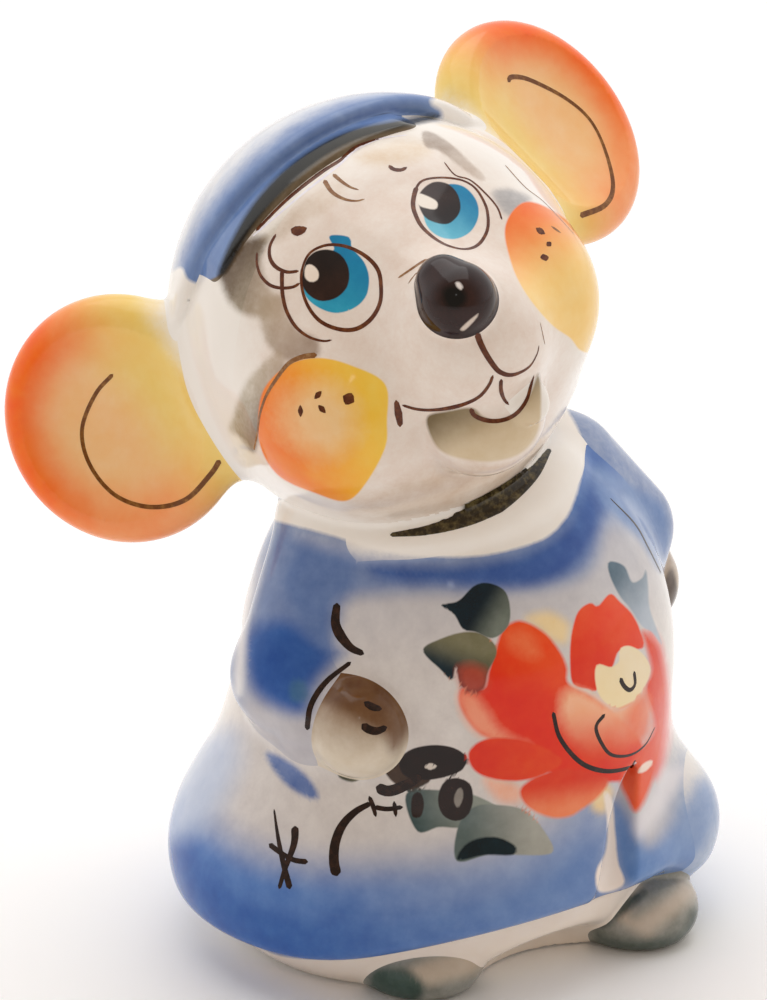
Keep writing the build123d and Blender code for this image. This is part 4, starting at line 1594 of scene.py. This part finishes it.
STROKES = {
    "right_eye_ring": Stroke(Brush.FACE, (
        302, 270, 302, 288, 308, 306, 320, 321, 338, 329, 356, 329, 371, 319, 380, 303, 381, 285,
        378, 270, 368, 258, 353, 249, 338, 245, 323, 246, 309, 254,
    ), (2.0, 3.4, 1.6), closed=True),
    "fringe_line": Stroke(Brush.FACE, (
        256, 231, 288, 199, 321, 173, 341, 160, 356, 147, 385, 137,
    ), (2.4, 3.6, 1.4)),
    "right_eye_outer_line": Stroke(Brush.FACE, (
        282, 270, 282, 285, 283, 297, 287, 312, 296, 327, 309, 337, 323, 341, 332, 340,
    ), (3.4, 2.6, 1.4)),
    "right_lash_high": Stroke(Brush.FACE, (
        276, 234, 270, 246, 270, 258, 276, 267, 287, 272, 299, 271,
    ), (2.4, 3.0, 2.0)),
    "right_lash_low": Stroke(Brush.FACE, (
        257, 252, 257, 264, 261, 276, 270, 285, 281, 288, 293, 287, 300, 283,
    ), (2.0, 2.4, 2.0)),
    "right_brow_dot": Stroke(Brush.FACE, (291, 229, 299, 231, 307, 228), (5.0, 8.0, 4.0)),
    "left_eye_ring": Stroke(Brush.FACE, (
        416, 189, 413, 204, 416, 216, 423, 228, 437, 240, 452, 247, 467, 249, 479, 244, 487, 231,
        488, 217, 485, 204, 476, 189, 464, 181, 449, 178, 434, 178, 422, 181,
    ), (3.4, 2.4, 1.8), closed=True),
    "left_eye_outer_line": Stroke(Brush.FACE, (
        444, 162, 455, 175, 470, 180, 485, 193, 497, 207, 502, 220,
    ), (1.0, 1.8, 1.4)),
    "left_brow_dot": Stroke(Brush.FACE, (389, 165, 393, 169, 401, 170, 407, 167), (3.0, 3.8, 2.4)),
    "forehead_line_low": Stroke(Brush.PALE, (
        324, 180, 332, 192, 344, 199, 356, 201, 365, 199,
    ), (3.4, 2.6, 1.2)),
    "forehead_line_high": Stroke(Brush.PALE, (333, 174, 341, 181, 350, 187, 359, 190), (3.0, 2.4, 1.2)),
    "nose_line_long": Stroke(Brush.PALE, (398, 278, 410, 270, 422, 262, 430, 258), (1.6, 2.6, 1.4)),
    "nose_line_short": Stroke(Brush.PALE, (408, 284, 414, 276, 422, 267), (1.0, 1.4, 0.8)),
    "nose_to_lip": Stroke(Brush.FACE, (
        477, 333, 480, 342, 486, 354, 494, 366, 500, 372, 509, 375, 519, 373, 530, 366, 537, 354,
        539, 345,
    ), (4.6, 3.4, 1.6)),
    "mouth_line": Stroke(Brush.FACE, (
        493, 375, 489, 385, 480, 396, 467, 403, 449, 408, 431, 410, 416, 409, 402, 405,
    ), (2.2, 4.2, 2.0)),
    "mouth_corner": Stroke(Brush.FACE, (396, 400, 398, 411, 400, 423, 400, 427), (3.0, 5.4, 3.4)),
    "teeth_line": Stroke(Brush.FACE, (501, 379, 501, 390, 504, 399, 509, 405), (3.0, 3.0, 1.8)),
    "lip_line": Stroke(Brush.FACE, (
        471, 408, 474, 415, 485, 420, 497, 421, 509, 418, 519, 411, 527, 399, 531, 385, 534, 375,
    ), (3.4, 3.0, 2.0)),
    "cheek_crease": Stroke(Brush.PALE, (540, 322, 543, 336, 545, 345), (0.8, 1.4, 1.0)),
    "right_freckle_first": Stroke(Brush.FACE, (298, 411, 303, 411), (9.0, 11.0, 8.0)),
    "right_freckle_second": Stroke(Brush.FACE, (316, 393, 320, 397), (7.0, 9.0, 7.0)),
    "right_freckle_third": Stroke(Brush.FACE, (320, 411, 324, 407), (8.0, 9.0, 7.0)),
    "right_freckle_fourth": Stroke(Brush.FACE, (343, 396, 349, 399, 354, 402), (5.0, 9.0, 6.0)),
    "left_freckle_first": Stroke(Brush.FACE, (536, 228, 545, 234), (5.0, 7.0, 4.0)),
    "left_freckle_second": Stroke(Brush.FACE, (547, 242, 551, 246), (6.0, 7.0, 5.0)),
    "left_freckle_third": Stroke(Brush.FACE, (543, 254, 546, 261), (6.0, 8.0, 6.0)),
    "left_freckle_tail": Stroke(Brush.PALE, (551, 226, 561, 233), (2.0, 3.0, 1.6)),
    "cheek_outline": Stroke(Brush.PALE, (
        317, 355, 302, 357, 288, 364, 275, 381, 266, 396, 260, 414, 257, 435, 254, 450,
    ), (4.0, 2.6, 1.4)),
    # White line on the fringe's raised edge: thicker glaze and a painted highlight along the edge
    "fringe_edge_glaze_and_highlight": Stroke(Brush.RELIEF, (
        252, 237, 273, 219, 305, 192, 338, 166, 356, 150, 380, 139, 407, 135,
    ), (1.6, 2.4, 1.4)),
    "right_ear_line": Stroke(Brush.EARS, (
        113, 374, 95, 395, 82, 430, 90, 465, 115, 495, 150, 507, 185, 500, 210, 475, 220, 460,
    ), (3.0, 3.0, 4.0)),
    "left_ear_line": Stroke(Brush.EARS, (
        508, 82, 512, 77, 530, 80, 565, 98, 590, 120, 605, 150, 613, 185, 605, 205, 580, 216,
    ), (4.0, 2.6, 4.4)),
    "left_ear_root_line": Stroke(Brush.PALE, (505, 165, 525, 187, 545, 203, 575, 235), (1.4, 1.8, 1.0)),
    # Dark line in the crease between chin and collar: a brush line and painted shadow of the crease
    "chin_crease_line_and_shadow": Stroke(Brush.CHIN, (
        390, 535, 428, 530, 468, 518, 503, 499, 532, 475, 550, 449,
    ), (3.0, 16.0, 3.0)),
    "arm_fold": Stroke(Brush.COAT, (337, 603, 336, 626, 349, 646, 364, 654), (5.0, 7.6, 4.0)),
    "cuff_line": Stroke(Brush.COAT, (351, 662, 326, 682, 311, 705, 307, 730), (3.0, 4.4, 4.0)),
    "finger_line_high": Stroke(Brush.COAT, (364, 702, 373, 707, 382, 709), (4.0, 6.0, 3.0)),
    "finger_line_low": Stroke(Brush.COAT, (362, 724, 368, 729, 377, 731, 387, 727), (6.0, 6.0, 4.0)),
    "left_sleeve_line": Stroke(Brush.COAT, (610, 498, 635, 524, 648, 547, 661, 573), (1.4, 3.4, 3.0)),
    "star_down": Stroke(Brush.COAT, (274, 809, 278, 837, 283, 862, 290, 889), (1.4, 3.6, 5.0)),
    "star_across": Stroke(Brush.COAT, (295, 826, 294, 844, 285, 869, 279, 889), (6.4, 4.4, 3.0)),
    "star_level": Stroke(Brush.COAT, (269, 844, 281, 853, 294, 860, 308, 862), (4.0, 3.6, 4.0)),
    "twig_stem": Stroke(Brush.COAT, (
        337, 876, 334, 862, 335, 844, 342, 826, 355, 812, 371, 803,
    ), (7.6, 6.6, 3.6)),
    "thorn_left": Stroke(Brush.COAT, (369, 796, 373, 806, 376, 817), (3.0, 3.6, 2.4)),
    "twig_bar": Stroke(Brush.COAT, (374, 807, 387, 809, 403, 807), (3.6, 3.4, 3.0)),
    "thorn_right": Stroke(Brush.COAT, (394, 801, 396, 817), (2.4, 3.4, 2.0)),
    "twig_top": Stroke(Brush.COAT, (376, 787, 389, 791, 406, 785, 421, 776), (8.0, 8.0, 6.0)),
    "petal_curl_outer": Stroke(Brush.COAT, (
        553, 712, 560, 738, 580, 762, 604, 771, 628, 768, 636, 760,
    ), (3.0, 3.6, 2.4)),
    "petal_curl_inner": Stroke(Brush.COAT, (
        605, 714, 596, 727, 602, 744, 612, 755, 630, 755, 645, 745, 655, 727,
    ), (3.4, 2.4, 1.4)),
    "heart_curl": Stroke(Brush.COAT, (620, 678, 624, 686, 630, 690, 635, 684, 634, 671), (4.0, 3.2, 3.4)),
}


@dataclass(frozen=True)
class Ink:
    """Glazed brush-line pigment, thinner in streaks."""

    name: str
    colour: Colour
    thin: Colour
    streak_scale: float = 1500.0
    streak_start: float = 0.45
    streak_contrast: float = 3.0

    def material(self) -> Material:
        """Build the material.

        Returns:
            The material.
        """
        sheet = NodeSheet(self.name)
        streak = sheet.noise(self.streak_scale, detail=3.0, roughness=0.6)
        streak = sheet.math("SUBTRACT", streak, self.streak_start)
        share = sheet.math("MULTIPLY", streak, self.streak_contrast, clamp=True)
        shader = sheet.add("ShaderNodeBsdfPrincipled")
        sheet.feed(shader.inputs["Base Color"], sheet.mix(share, (*self.colour, 1), (*self.thin, 1)))
        sheet.feed(shader.inputs["Roughness"], GLOSS)
        sheet.feed(shader.inputs["IOR"], GLAZE_IOR)
        sheet.feed(sheet.output.inputs["Surface"], shader.outputs["BSDF"])
        return sheet.material


INKS = {
    Brush.FACE: Ink("ink_face", paint("54240C"), paint("80481F")),
    Brush.PALE: Ink("ink_face_pale", paint("84552C"), paint("AE8A5E")),
    # White ink: thicker glaze on the fringe's edge and a painted highlight along it
    Brush.RELIEF: Ink("ink_glaze_and_highlight", paint("F4F0F6"), paint("DDD4E2")),
    Brush.EARS: Ink("ink_ears", paint("6E3C0A"), paint("A06C2C")),
    # Dark ink under the chin: brushwork and painted shadow of the crease
    Brush.CHIN: Ink("ink_chin_crease_and_shadow", paint("2C2210"), paint("746640")),
    Brush.COAT: Ink("ink_coat", paint("1E0C06"), paint("40261A")),
}


@dataclass
class BrushLines:
    """Brush lines laid on the surface by a geometry tree."""

    surface: Field
    target: bpy.types.Object
    spacing: float = 0.22
    steps_per_span: int = 10
    least_places: int = 5
    sides: int = 10
    lift: float = 0.012
    fullness: float = 1.4
    flatness: float = 0.07
    end_share: float = 0.02
    first_reach: float = 60.0
    most_steps: int = 90
    longest_step: float = 4.0
    step_share: float = 0.8

    def trace(self, pixels: Array) -> Array:
        """Find where the lines of sight through photo pixels meet the surface.

        Args:
            pixels: photo pixels, one a row.

        Returns:
            Places on the surface.
        """
        rays = VIEW.rays(pixels)
        travelled = np.full(len(rays), VIEW.distance - self.first_reach)
        for _ in range(self.most_steps):
            left = self.surface(VIEW.eye + rays * travelled[:, None])
            travelled += np.clip(left, -1.0, self.longest_step) * self.step_share
        return VIEW.eye + rays * travelled[:, None]

    def path(self, stroke: Stroke) -> tuple[Array, Array]:
        """Space a stroke's places evenly.

        Args:
            stroke: the stroke.

        Returns:
            Places and half widths along the stroke, in millimetres.
        """
        line = smooth_outline(stroke.line, stroke.closed, self.steps_per_span)
        if stroke.closed:
            line = np.vstack((line, line[:1]))
        places = self.trace(line)
        along = np.concatenate(([0], np.cumsum(np.linalg.norm(np.diff(places, axis=0), axis=1))))
        count = max(int(along[-1] / self.spacing), self.least_places)
        even = np.linspace(0, along[-1], count)
        places = np.stack([np.interp(even, along, places[:, axis]) for axis in range(3)], axis=1)
        share = even / along[-1]
        half = np.interp(share, (0, 0.5, 1), stroke.widths) / 2 * self.fullness * VIEW.pixel
        if stroke.closed:
            return places[:-1], half[:-1]
        end = np.minimum(even, along[-1] - even) / np.maximum(half, TINY)
        return places, half * np.sqrt(np.clip(1 - (1 - np.minimum(end, 1)) ** 2, self.end_share, 1))

    def tree(self) -> bpy.types.NodeTree:
        """Build the tree that turns paths into flat strokes on the surface.

        Returns:
            The tree. Each point of a round tube goes to the surface's nearest point and then out again by the
            lift and a flattened share of its own height.
        """
        tree = bpy.data.node_groups.new("brush_line", "GeometryNodeTree")
        sockets = {
            "Geometry": "NodeSocketGeometry",
            "Surface": "NodeSocketObject",
            "Sides": "NodeSocketInt",
            "Lift": "NodeSocketFloat",
            "Flatness": "NodeSocketFloat",
            "Ink": "NodeSocketMaterial",
        }
        for name, kind in sockets.items():
            tree.interface.new_socket(name, in_out="INPUT", socket_type=kind)
        tree.interface.new_socket("Geometry", in_out="OUTPUT", socket_type="NodeSocketGeometry")
        kinds = {
            "given": "NodeGroupInput",
            "curve": "GeometryNodeMeshToCurve",
            "radius": "GeometryNodeInputNamedAttribute",
            "thick": "GeometryNodeSetCurveRadius",
            "circle": "GeometryNodeCurvePrimitiveCircle",
            "tube": "GeometryNodeCurveToMesh",
            "surface": "GeometryNodeObjectInfo",
            "place": "GeometryNodeInputPosition",
            "nearest": "GeometryNodeProximity",
            "outward": "GeometryNodeInputNamedAttribute",
            "normal": "GeometryNodeSampleNearestSurface",
            "away": "ShaderNodeVectorMath",
            "rise": "ShaderNodeVectorMath",
            "flat": "ShaderNodeMath",
            "out": "ShaderNodeVectorMath",
            "moved": "ShaderNodeVectorMath",
            "set_place": "GeometryNodeSetPosition",
            "realize": "GeometryNodeRealizeInstances",
            "ink": "GeometryNodeSetMaterial",
            "result": "NodeGroupOutput",
        }
        nodes = {name: tree.nodes.new(kind) for name, kind in kinds.items()}
        operations = {
            "away": "SUBTRACT",
            "rise": "DOT_PRODUCT",
            "flat": "MULTIPLY_ADD",
            "out": "SCALE",
            "moved": "ADD",
        }
        for name, operation in operations.items():
            nodes[name].operation = operation
        nodes["radius"].data_type = "FLOAT"
        nodes["radius"].inputs["Name"].default_value = "half_width"
        nodes["outward"].data_type = "FLOAT_VECTOR"
        nodes["outward"].inputs["Name"].default_value = "outward"
        nodes["normal"].data_type = "FLOAT_VECTOR"
        nodes["nearest"].target_element = "FACES"
        nodes["circle"].inputs["Radius"].default_value = 1.0
        nodes["tube"].inputs["Fill Caps"].default_value = True
        links = (
            ("given", "Geometry", "curve", "Mesh"),
            ("curve", "Curve", "thick", "Curve"),
            ("radius", "Attribute", "thick", "Radius"),
            ("radius", "Attribute", "tube", "Scale"),
            ("thick", "Curve", "tube", "Curve"),
            ("given", "Sides", "circle", "Resolution"),
            ("circle", "Curve", "tube", "Profile Curve"),
            ("given", "Surface", "surface", "Object"),
            ("surface", "Geometry", "nearest", "Geometry"),
            ("surface", "Geometry", "normal", "Mesh"),
            ("outward", "Attribute", "normal", "Value"),
            ("place", "Position", "away", 0),
            ("nearest", "Position", "away", 1),
            ("away", "Vector", "rise", 0),
            ("normal", "Value", "rise", 1),
            ("rise", "Value", "flat", 0),
            ("given", "Flatness", "flat", 1),
            ("given", "Lift", "flat", 2),
            ("normal", "Value", "out", 0),
            ("flat", "Value", "out", "Scale"),
            ("nearest", "Position", "moved", 0),
            ("out", "Vector", "moved", 1),
            ("tube", "Mesh", "set_place", "Geometry"),
            ("moved", "Vector", "set_place", "Position"),
            ("set_place", "Geometry", "realize", "Geometry"),
            ("realize", "Geometry", "ink", "Geometry"),
            ("given", "Ink", "ink", "Material"),
            ("ink", "Geometry", "result", "Geometry"),
        )
        for source, output, target, entry in links:
            tree.links.new(nodes[source].outputs[output], nodes[target].inputs[entry])
        return tree

    def lay(self, name: str, strokes: list[Stroke], ink: Material) -> bpy.types.Object:
        """Make one object of strokes.

        Args:
            name: the object's name.
            strokes: the strokes.
            ink: their material.

        Returns:
            The finished object.
        """
        points, halves, edges = [], [], []
        for stroke in strokes:
            places, half = self.path(stroke)
            first = len(points)
            points.extend(map(tuple, places * MM))
            halves.extend(half * MM)
            edges.extend((first + at, first + at + 1) for at in range(len(places) - 1))
            if stroke.closed:
                edges.append((len(points) - 1, first))
        mesh = bpy.data.meshes.new(f"{name}_paths")
        mesh.from_pydata(points, edges, [])
        mesh.attributes.new("half_width", "FLOAT", "POINT").data.foreach_set("value", halves)
        paths = bpy.data.objects.new(f"{name}_paths", mesh)
        bpy.context.scene.collection.objects.link(paths)
        modifier = paths.modifiers.new("brush", "NODES")
        modifier.node_group = self.tree()
        values = {
            "Surface": self.target,
            "Sides": self.sides,
            "Lift": self.lift * MM,
            "Flatness": self.flatness,
            "Ink": ink,
        }
        for item in modifier.node_group.interface.items_tree:
            if item.item_type == "SOCKET" and item.in_out == "INPUT" and item.name in values:
                modifier[item.identifier] = values[item.name]
        evaluated = paths.evaluated_get(bpy.context.evaluated_depsgraph_get())
        made = bpy.data.meshes.new_from_object(evaluated)
        bpy.data.objects.remove(paths)
        made.name = name
        self._smooth(made)
        thing = bpy.data.objects.new(name, made)
        bpy.context.scene.collection.objects.link(thing)
        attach(thing, ROOT_BODY)
        log.info("%s: %d faces", name, len(made.polygons))
        return thing

    def _smooth(self, mesh: bpy.types.Mesh) -> None:
        """Shade the strokes with the surface's own normals, so that the glaze runs over them.

        Args:
            mesh: the strokes' mesh.
        """
        count = len(mesh.vertices)
        points = np.empty(count * 3, np.float32)
        mesh.vertices.foreach_get("co", points)
        normals = unit(slope_of(self.surface, points.reshape(-1, 3).astype(float) / MM))
        corners = np.empty(len(mesh.loops), np.int32)
        mesh.loops.foreach_get("vertex_index", corners)
        faces = np.empty(len(mesh.polygons) * 3, np.float32)
        mesh.polygons.foreach_get("normal", faces)
        totals = np.empty(len(mesh.polygons), np.int32)
        mesh.polygons.foreach_get("loop_total", totals)
        flat = np.repeat(faces.reshape(-1, 3), totals, axis=0)
        sign = np.where((normals[corners] * flat).sum(axis=1) < 0, -1.0, 1.0)
        mesh.polygons.foreach_set("use_smooth", np.ones(len(mesh.polygons), bool))
        mesh.normals_split_custom_set((normals[corners] * sign[:, None]).astype(np.float32))


@dataclass
class Brushwork:
    """Washes that go all round a piece, and the patches of the photographed side.

    A span is the stretch of millimetres over which a wash comes in or fades.
    """

    head: HeadShape
    body: BodyShape
    cap_colours: tuple[str, str] = ("6B86B8", "B4C0D8")
    cap_span: Span = (1.0, 6.0)
    cap_amount: float = 0.97
    cap_thinning: float = 0.5
    hair_shadow: str = "14140F"
    hair_shadow_span: Span = (0.4, 2.2)
    hair_amount: float = 0.97
    ear_colours: tuple[str, str, str] = ("F8C58A", "FC6A00", "F4D478")
    ear_rim_span: Span = (4.5, 9.8)
    ear_outer_span: Span = (-9.0, 3.0)
    ear_upper_span: Span = (-9.0, 0.0)
    ear_lower_share: float = 0.55
    ear_inner_span: Span = (1.0, -6.0)
    ear_root_span: Span = (-7.5, -11.5)
    coat_washes: tuple[tuple[str, Span, Span], ...] = (
        ("8FA8CE", (30.0, 41.0), (5.0, 15.0)),
        ("2E63B0", (39.0, 45.0), (0.5, 7.0)),
    )
    coat_amount: float = 0.85
    flap_washes: tuple[tuple[str, Span], ...] = (("9FB4D4", (10.0, 17.0)), ("6E90C4", (4.0, 8.0)))
    flap_amount: float = 0.8
    paw_shadow: str = "7A5432"
    paw_shadow_span: Span = (-0.6, 0.9)
    paw_amount: float = 0.85
    least_height: float = 0.1

    even_washes = {
        "fringe": ("66543A", 0.97),
        "nose": ("2A1410", 1.0),
        "sleeve_left": ("6A84B4", 0.85),
        "sleeve_right": ("6A84B4", 0.85),
        "paw_left": ("DCCEB8", 0.85),
        "paw_right": ("DCCEB8", 0.85),
        "tail": ("DCCEB8", 0.85),
        "foot_left": ("7E8078", 0.9),
        "foot_right": ("7E8078", 0.9),
    }

    def coat(self, piece: Piece) -> Coating:
        """Paint a piece.

        Args:
            piece: the piece.

        Returns:
            Its paint.
        """
        coating = Coating(len(piece.points))
        if piece.name in self.even_washes:
            code, amount = self.even_washes[piece.name]
            coating.lay_wash(paint(code), np.full(coating.count, amount))
        shaded = {
            "cap": self._cap,
            "fringe": self._fringe,
            "ear_left": self._ear,
            "ear_right": self._ear,
            "coat_body": self._coat,
            "coat_flap": self._flap,
            "paw_left": self._paw,
            "paw_right": self._paw,
            "tail": self._paw,
        }
        if piece.name in shaded:
            shaded[piece.name](piece, coating)
        for patch in PATCHES.values():
            patch.lay(piece, coating)
        return coating

    def _above_edge(self, piece: Piece) -> Array:
        """Height of a piece's points above the cap's edge."""
        return self.head.cap_height(self.head.local(piece.points)) - self.head.cap_edge

    def _cap(self, piece: Piece, coating: Coating) -> None:
        """Lay blue that thins away from the front edge.

        Args:
            piece: the cap.
            coating: its paint.
        """
        thin = smooth_step(*self.cap_span, self._above_edge(piece))
        deep, pale = (np.array(paint(code)) for code in self.cap_colours)
        colour = deep * (1 - thin[:, None]) + pale * thin[:, None]
        coating.lay_wash(colour, self.cap_amount - self.cap_thinning * thin)

    def _fringe(self, piece: Piece, coating: Coating) -> None:
        """Darken the hair below the cap's edge."""
        shadow = 1 - smooth_step(*self.hair_shadow_span, -self._above_edge(piece))
        coating.lay_wash(paint(self.hair_shadow), self.hair_amount * shadow)

    def _ear(self, piece: Piece, coating: Coating) -> None:
        """Lay orange at the rim and yellow towards the root, bare where the ear meets the head.

        Args:
            piece: the ear.
            coating: its paint.
        """
        side = 1 if piece.name == "ear_left" else -1
        at = self.head.ear_local(self.head.local(piece.points), side)
        out = np.hypot(at[:, 0], at[:, 2])
        outward = at[:, 0] * side
        upper = smooth_step(*self.ear_upper_span, at[:, 2])
        rim = smooth_step(*self.ear_rim_span, out) * smooth_step(*self.ear_outer_span, outward)
        rim = rim * (self.ear_lower_share + (1 - self.ear_lower_share) * upper)
        inner = smooth_step(*self.ear_inner_span, outward)
        peach, orange, yellow = (np.array(paint(code)) for code in self.ear_colours)
        colour = peach * (1 - inner[:, None]) + yellow * inner[:, None]
        colour = colour * (1 - rim[:, None]) + orange * rim[:, None]
        coating.lay_wash(colour, 1.0 - smooth_step(*self.ear_root_span, outward))

    def _coat(self, piece: Piece, coating: Coating) -> None:
        """Lay blue under the collar and along the hem, with a pale middle.

        Args:
            piece: the coat.
            coating: its paint.
        """
        height = piece.points[:, 2]
        above_hem = height - self.body.hem_height(piece.points)
        for code, upper, lower in self.coat_washes:
            thick = np.maximum(smooth_step(*upper, height), 1 - smooth_step(*lower, above_hem))
            coating.lay_wash(paint(code), self.coat_amount * thick)

    def _flap(self, piece: Piece, coating: Coating) -> None:
        """Lay pale blue, deeper at the foot."""
        for code, span in self.flap_washes:
            coating.lay_wash(paint(code), self.flap_amount * (1 - smooth_step(*span, piece.points[:, 2])))

    def _paw(self, piece: Piece, coating: Coating) -> None:
        """Darken the upper side.

        Args:
            piece: a paw or the tail.
            coating: its paint.
        """
        height = piece.points[:, 2]
        half = max(height.max() - height.min(), self.least_height) / 2
        dark = smooth_step(*self.paw_shadow_span, (height - height.mean()) / half)
        coating.lay_wash(paint(self.paw_shadow), dark * self.paw_amount)


@dataclass(frozen=True)
class SoftLight:
    """A square soft light, with its place and size in metres and its power in watts."""

    name: str
    place: Place
    size: float
    power: float

    def build(self, aim: Place) -> None:
        """Add the light.

        Args:
            aim: where it points.
        """
        data = bpy.data.lights.new(self.name, "AREA")
        data.size = self.size
        data.energy = self.power
        light = bpy.data.objects.new(self.name, data)
        light.location = self.place
        light.rotation_euler = (Vector(self.place) - Vector(aim)).to_track_quat("Z", "Y").to_euler()
        bpy.context.scene.collection.objects.link(light)


@dataclass(frozen=True)
class Studio:
    """Pale floor and soft lights round the figurine, in metres."""

    floor_half: float = 3.0
    floor_shade: float = 0.985
    floor_roughness: float = 0.6
    far_side: Colour = (1.1, 1.1, 1.1)
    near_side: Colour = (0.5, 0.42, 0.34)
    opening: Span = (-0.1, 0.85)
    aim: Place = (0.0, 0.0, 0.04)
    lights: tuple[SoftLight, ...] = (
        SoftLight("top", (0.1, 0.25, 0.9), 0.9, 3.0),
        SoftLight("glint", (-0.27, -0.30, 0.34), 0.02, 0.01),
    )

    def build(self) -> None:
        """Make the floor, the world and the lights."""
        mesh = bpy.data.meshes.new("floor")
        half = self.floor_half
        corners = [(-half, -half, 0), (half, -half, 0), (half, half, 0), (-half, half, 0)]
        mesh.from_pydata(corners, [], [(0, 1, 2, 3)])
        floor = bpy.data.objects.new("floor", mesh)
        bpy.context.scene.collection.objects.link(floor)
        sheet = NodeSheet("floor_white")
        shader = sheet.add("ShaderNodeBsdfPrincipled")
        sheet.feed(shader.inputs["Base Color"], (self.floor_shade, self.floor_shade, self.floor_shade, 1))
        sheet.feed(shader.inputs["Roughness"], self.floor_roughness)
        sheet.feed(sheet.output.inputs["Surface"], shader.outputs["BSDF"])
        mesh.materials.append(sheet.material)
        world = bpy.data.worlds.new("studio")
        world.use_nodes = True
        self._surround(world.node_tree)
        bpy.context.scene.world = world
        bpy.context.scene.view_settings.view_transform = "Standard"
        for light in self.lights:
            light.build(self.aim)

    def _surround(self, tree: bpy.types.NodeTree) -> None:
        """Make a bright tent that is open, and so darker and warmer, on the photograph's side.

        Args:
            tree: the world's nodes.
        """
        direction = tree.nodes.new("ShaderNodeTexCoord")
        toward = tree.nodes.new("ShaderNodeVectorMath")
        toward.operation = "DOT_PRODUCT"
        toward.inputs[1].default_value = VIEW.axes[2]
        share = tree.nodes.new("ShaderNodeMapRange")
        share.interpolation_type = "SMOOTHSTEP"
        share.inputs["From Min"].default_value, share.inputs["From Max"].default_value = self.opening
        mixed = tree.nodes.new("ShaderNodeMix")
        mixed.data_type = "RGBA"
        mixed.inputs[6].default_value = (*self.far_side, 1)
        mixed.inputs[7].default_value = (*self.near_side, 1)
        tree.links.new(direction.outputs["Generated"], toward.inputs[0])
        tree.links.new(toward.outputs["Value"], share.inputs["Value"])
        tree.links.new(share.outputs["Result"], mixed.inputs[0])
        tree.links.new(mixed.outputs[2], tree.nodes["Background"].inputs["Color"])


NetPart = tuple[SurfaceNet, Array]

# Where the head and the body are joined, and how deep a face lies hidden in the other
NECK_FILLET = 0.8
PARTING_FILLET = 0.01
BURIED_DEPTH = 0.7
COVERED_GAP = 0.03
HEAD_MARGIN = 2.5
BODY_BOX = ((-30.0, -27.0, -1.0), (30.0, 29.0, 53.0))
HEAD_WALLS = {"nose": 1.0, "front_teeth": 0.5}
FULL_CELLS = (0.27, 0.36)


def joined_surface(head: HeadShape, body: BodyShape) -> Field:
    """Join the head and the body in one field.

    Args:
        head: the head.
        body: the body.

    Returns:
        Function from places to distances.
    """

    def whole(points: Array) -> Array:
        """Distance to the whole figurine."""
        return soft_min(body.surface(points), head.surface(points), NECK_FILLET)

    return whole


def reference_surface(head: NetPart, body: NetPart) -> bpy.types.Object:
    """Make a passing mesh of both nets, which the brush lines are laid on.

    Args:
        head: the head's net, and which of its quads to keep.
        body: the body's net, and which of its quads to keep.

    Returns:
        The mesh object.
    """
    points = np.concatenate((head[0].points, body[0].points))
    quads = np.concatenate((head[0].quads[head[1]], body[0].quads[body[1]] + len(head[0].points)))
    thing = make_mesh("painted_surface", points, quads, None)
    normals = np.concatenate((head[0].normals, body[0].normals)).astype(np.float32).ravel()
    thing.data.attributes.new("outward", "FLOAT_VECTOR", "POINT").data.foreach_set("vector", normals)
    return thing


def build_heads(head: HeadShape, body: BodyShape, cell: float) -> tuple[dict[str, Piece], NetPart]:
    """Mesh the head and divide it among its pieces.

    Args:
        head: the head.
        body: the body that it sits in.
        cell: the net's cell.

    Returns:
        The head's pieces, and its net with the quads that are kept.
    """
    low, high = box_of("head_front", "head_back", "cap", "ear_left", "ear_right", "nose")
    net = SurfaceNet(head.surface, low - HEAD_MARGIN, high + HEAD_MARGIN, cell)

    def fields(points: Array) -> dict[str, Array]:
        """Distance to each piece, with the shell divided on the mould's parting plane.

        Args:
            points: places, one a row.

        Returns:
            The distances by the piece's name.
        """
        found = head.fields(points)
        shell = found.pop("head_shell")
        found["head_front"] = soft_max(shell, points[:, 1], PARTING_FILLET)
        found["head_back"] = soft_max(shell, -points[:, 1], PARTING_FILLET)
        return found

    buried = body.surface(net.points) < -BURIED_DEPTH
    keep = ~buried[net.quads].all(axis=1)
    return split_net(net, fields, keep, HEAD_WALLS), (net, keep)


def build_bodies(head: HeadShape, body: BodyShape, cell: float) -> tuple[dict[str, Piece], NetPart]:
    """Mesh the body and divide it among its pieces.

    Args:
        head: the head that covers its top.
        body: the body.
        cell: the net's cell.

    Returns:
        The body's pieces, and its net with the quads that are kept.
    """
    net = SurfaceNet(joined_surface(head, body), *np.array(BODY_BOX), cell)
    covered = head.surface(net.points) < COVERED_GAP
    keep = ~covered[net.quads].all(axis=1)
    return split_net(net, body.fields, keep, {}), (net, keep)


def draw_lines(head: HeadShape, body: BodyShape, target: bpy.types.Object) -> None:
    """Lay the brush lines on the figurine, then drop the passing surface.

    Args:
        head: the head.
        body: the body.
        target: the passing surface.
    """
    lines = BrushLines(joined_surface(head, body), target)
    for brush, ink in INKS.items():
        strokes = [stroke for stroke in STROKES.values() if stroke.brush is brush]
        lines.lay(f"{brush.value}_lines", strokes, ink.material())
    bpy.data.objects.remove(target)


def main() -> None:
    """Build the figurine, its paint and the studio."""
    logging.basicConfig(level=logging.INFO, format="%(message)s")
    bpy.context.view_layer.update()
    VIEW.place()
    head, body = HeadShape(), BodyShape()
    brushwork = Brushwork(head, body)
    glaze = PaintedGlaze("painted_glaze").material()
    head_cell, body_cell = FULL_CELLS
    head_pieces, head_net = build_heads(head, body, head_cell)
    body_pieces, body_net = build_bodies(head, body, body_cell)
    for piece in (*head_pieces.values(), *body_pieces.values()):
        dress(piece, brushwork.coat(piece), glaze)
    draw_lines(head, body, reference_surface(head_net, body_net))
    Studio().build()


if __name__ == "__main__":
    main()
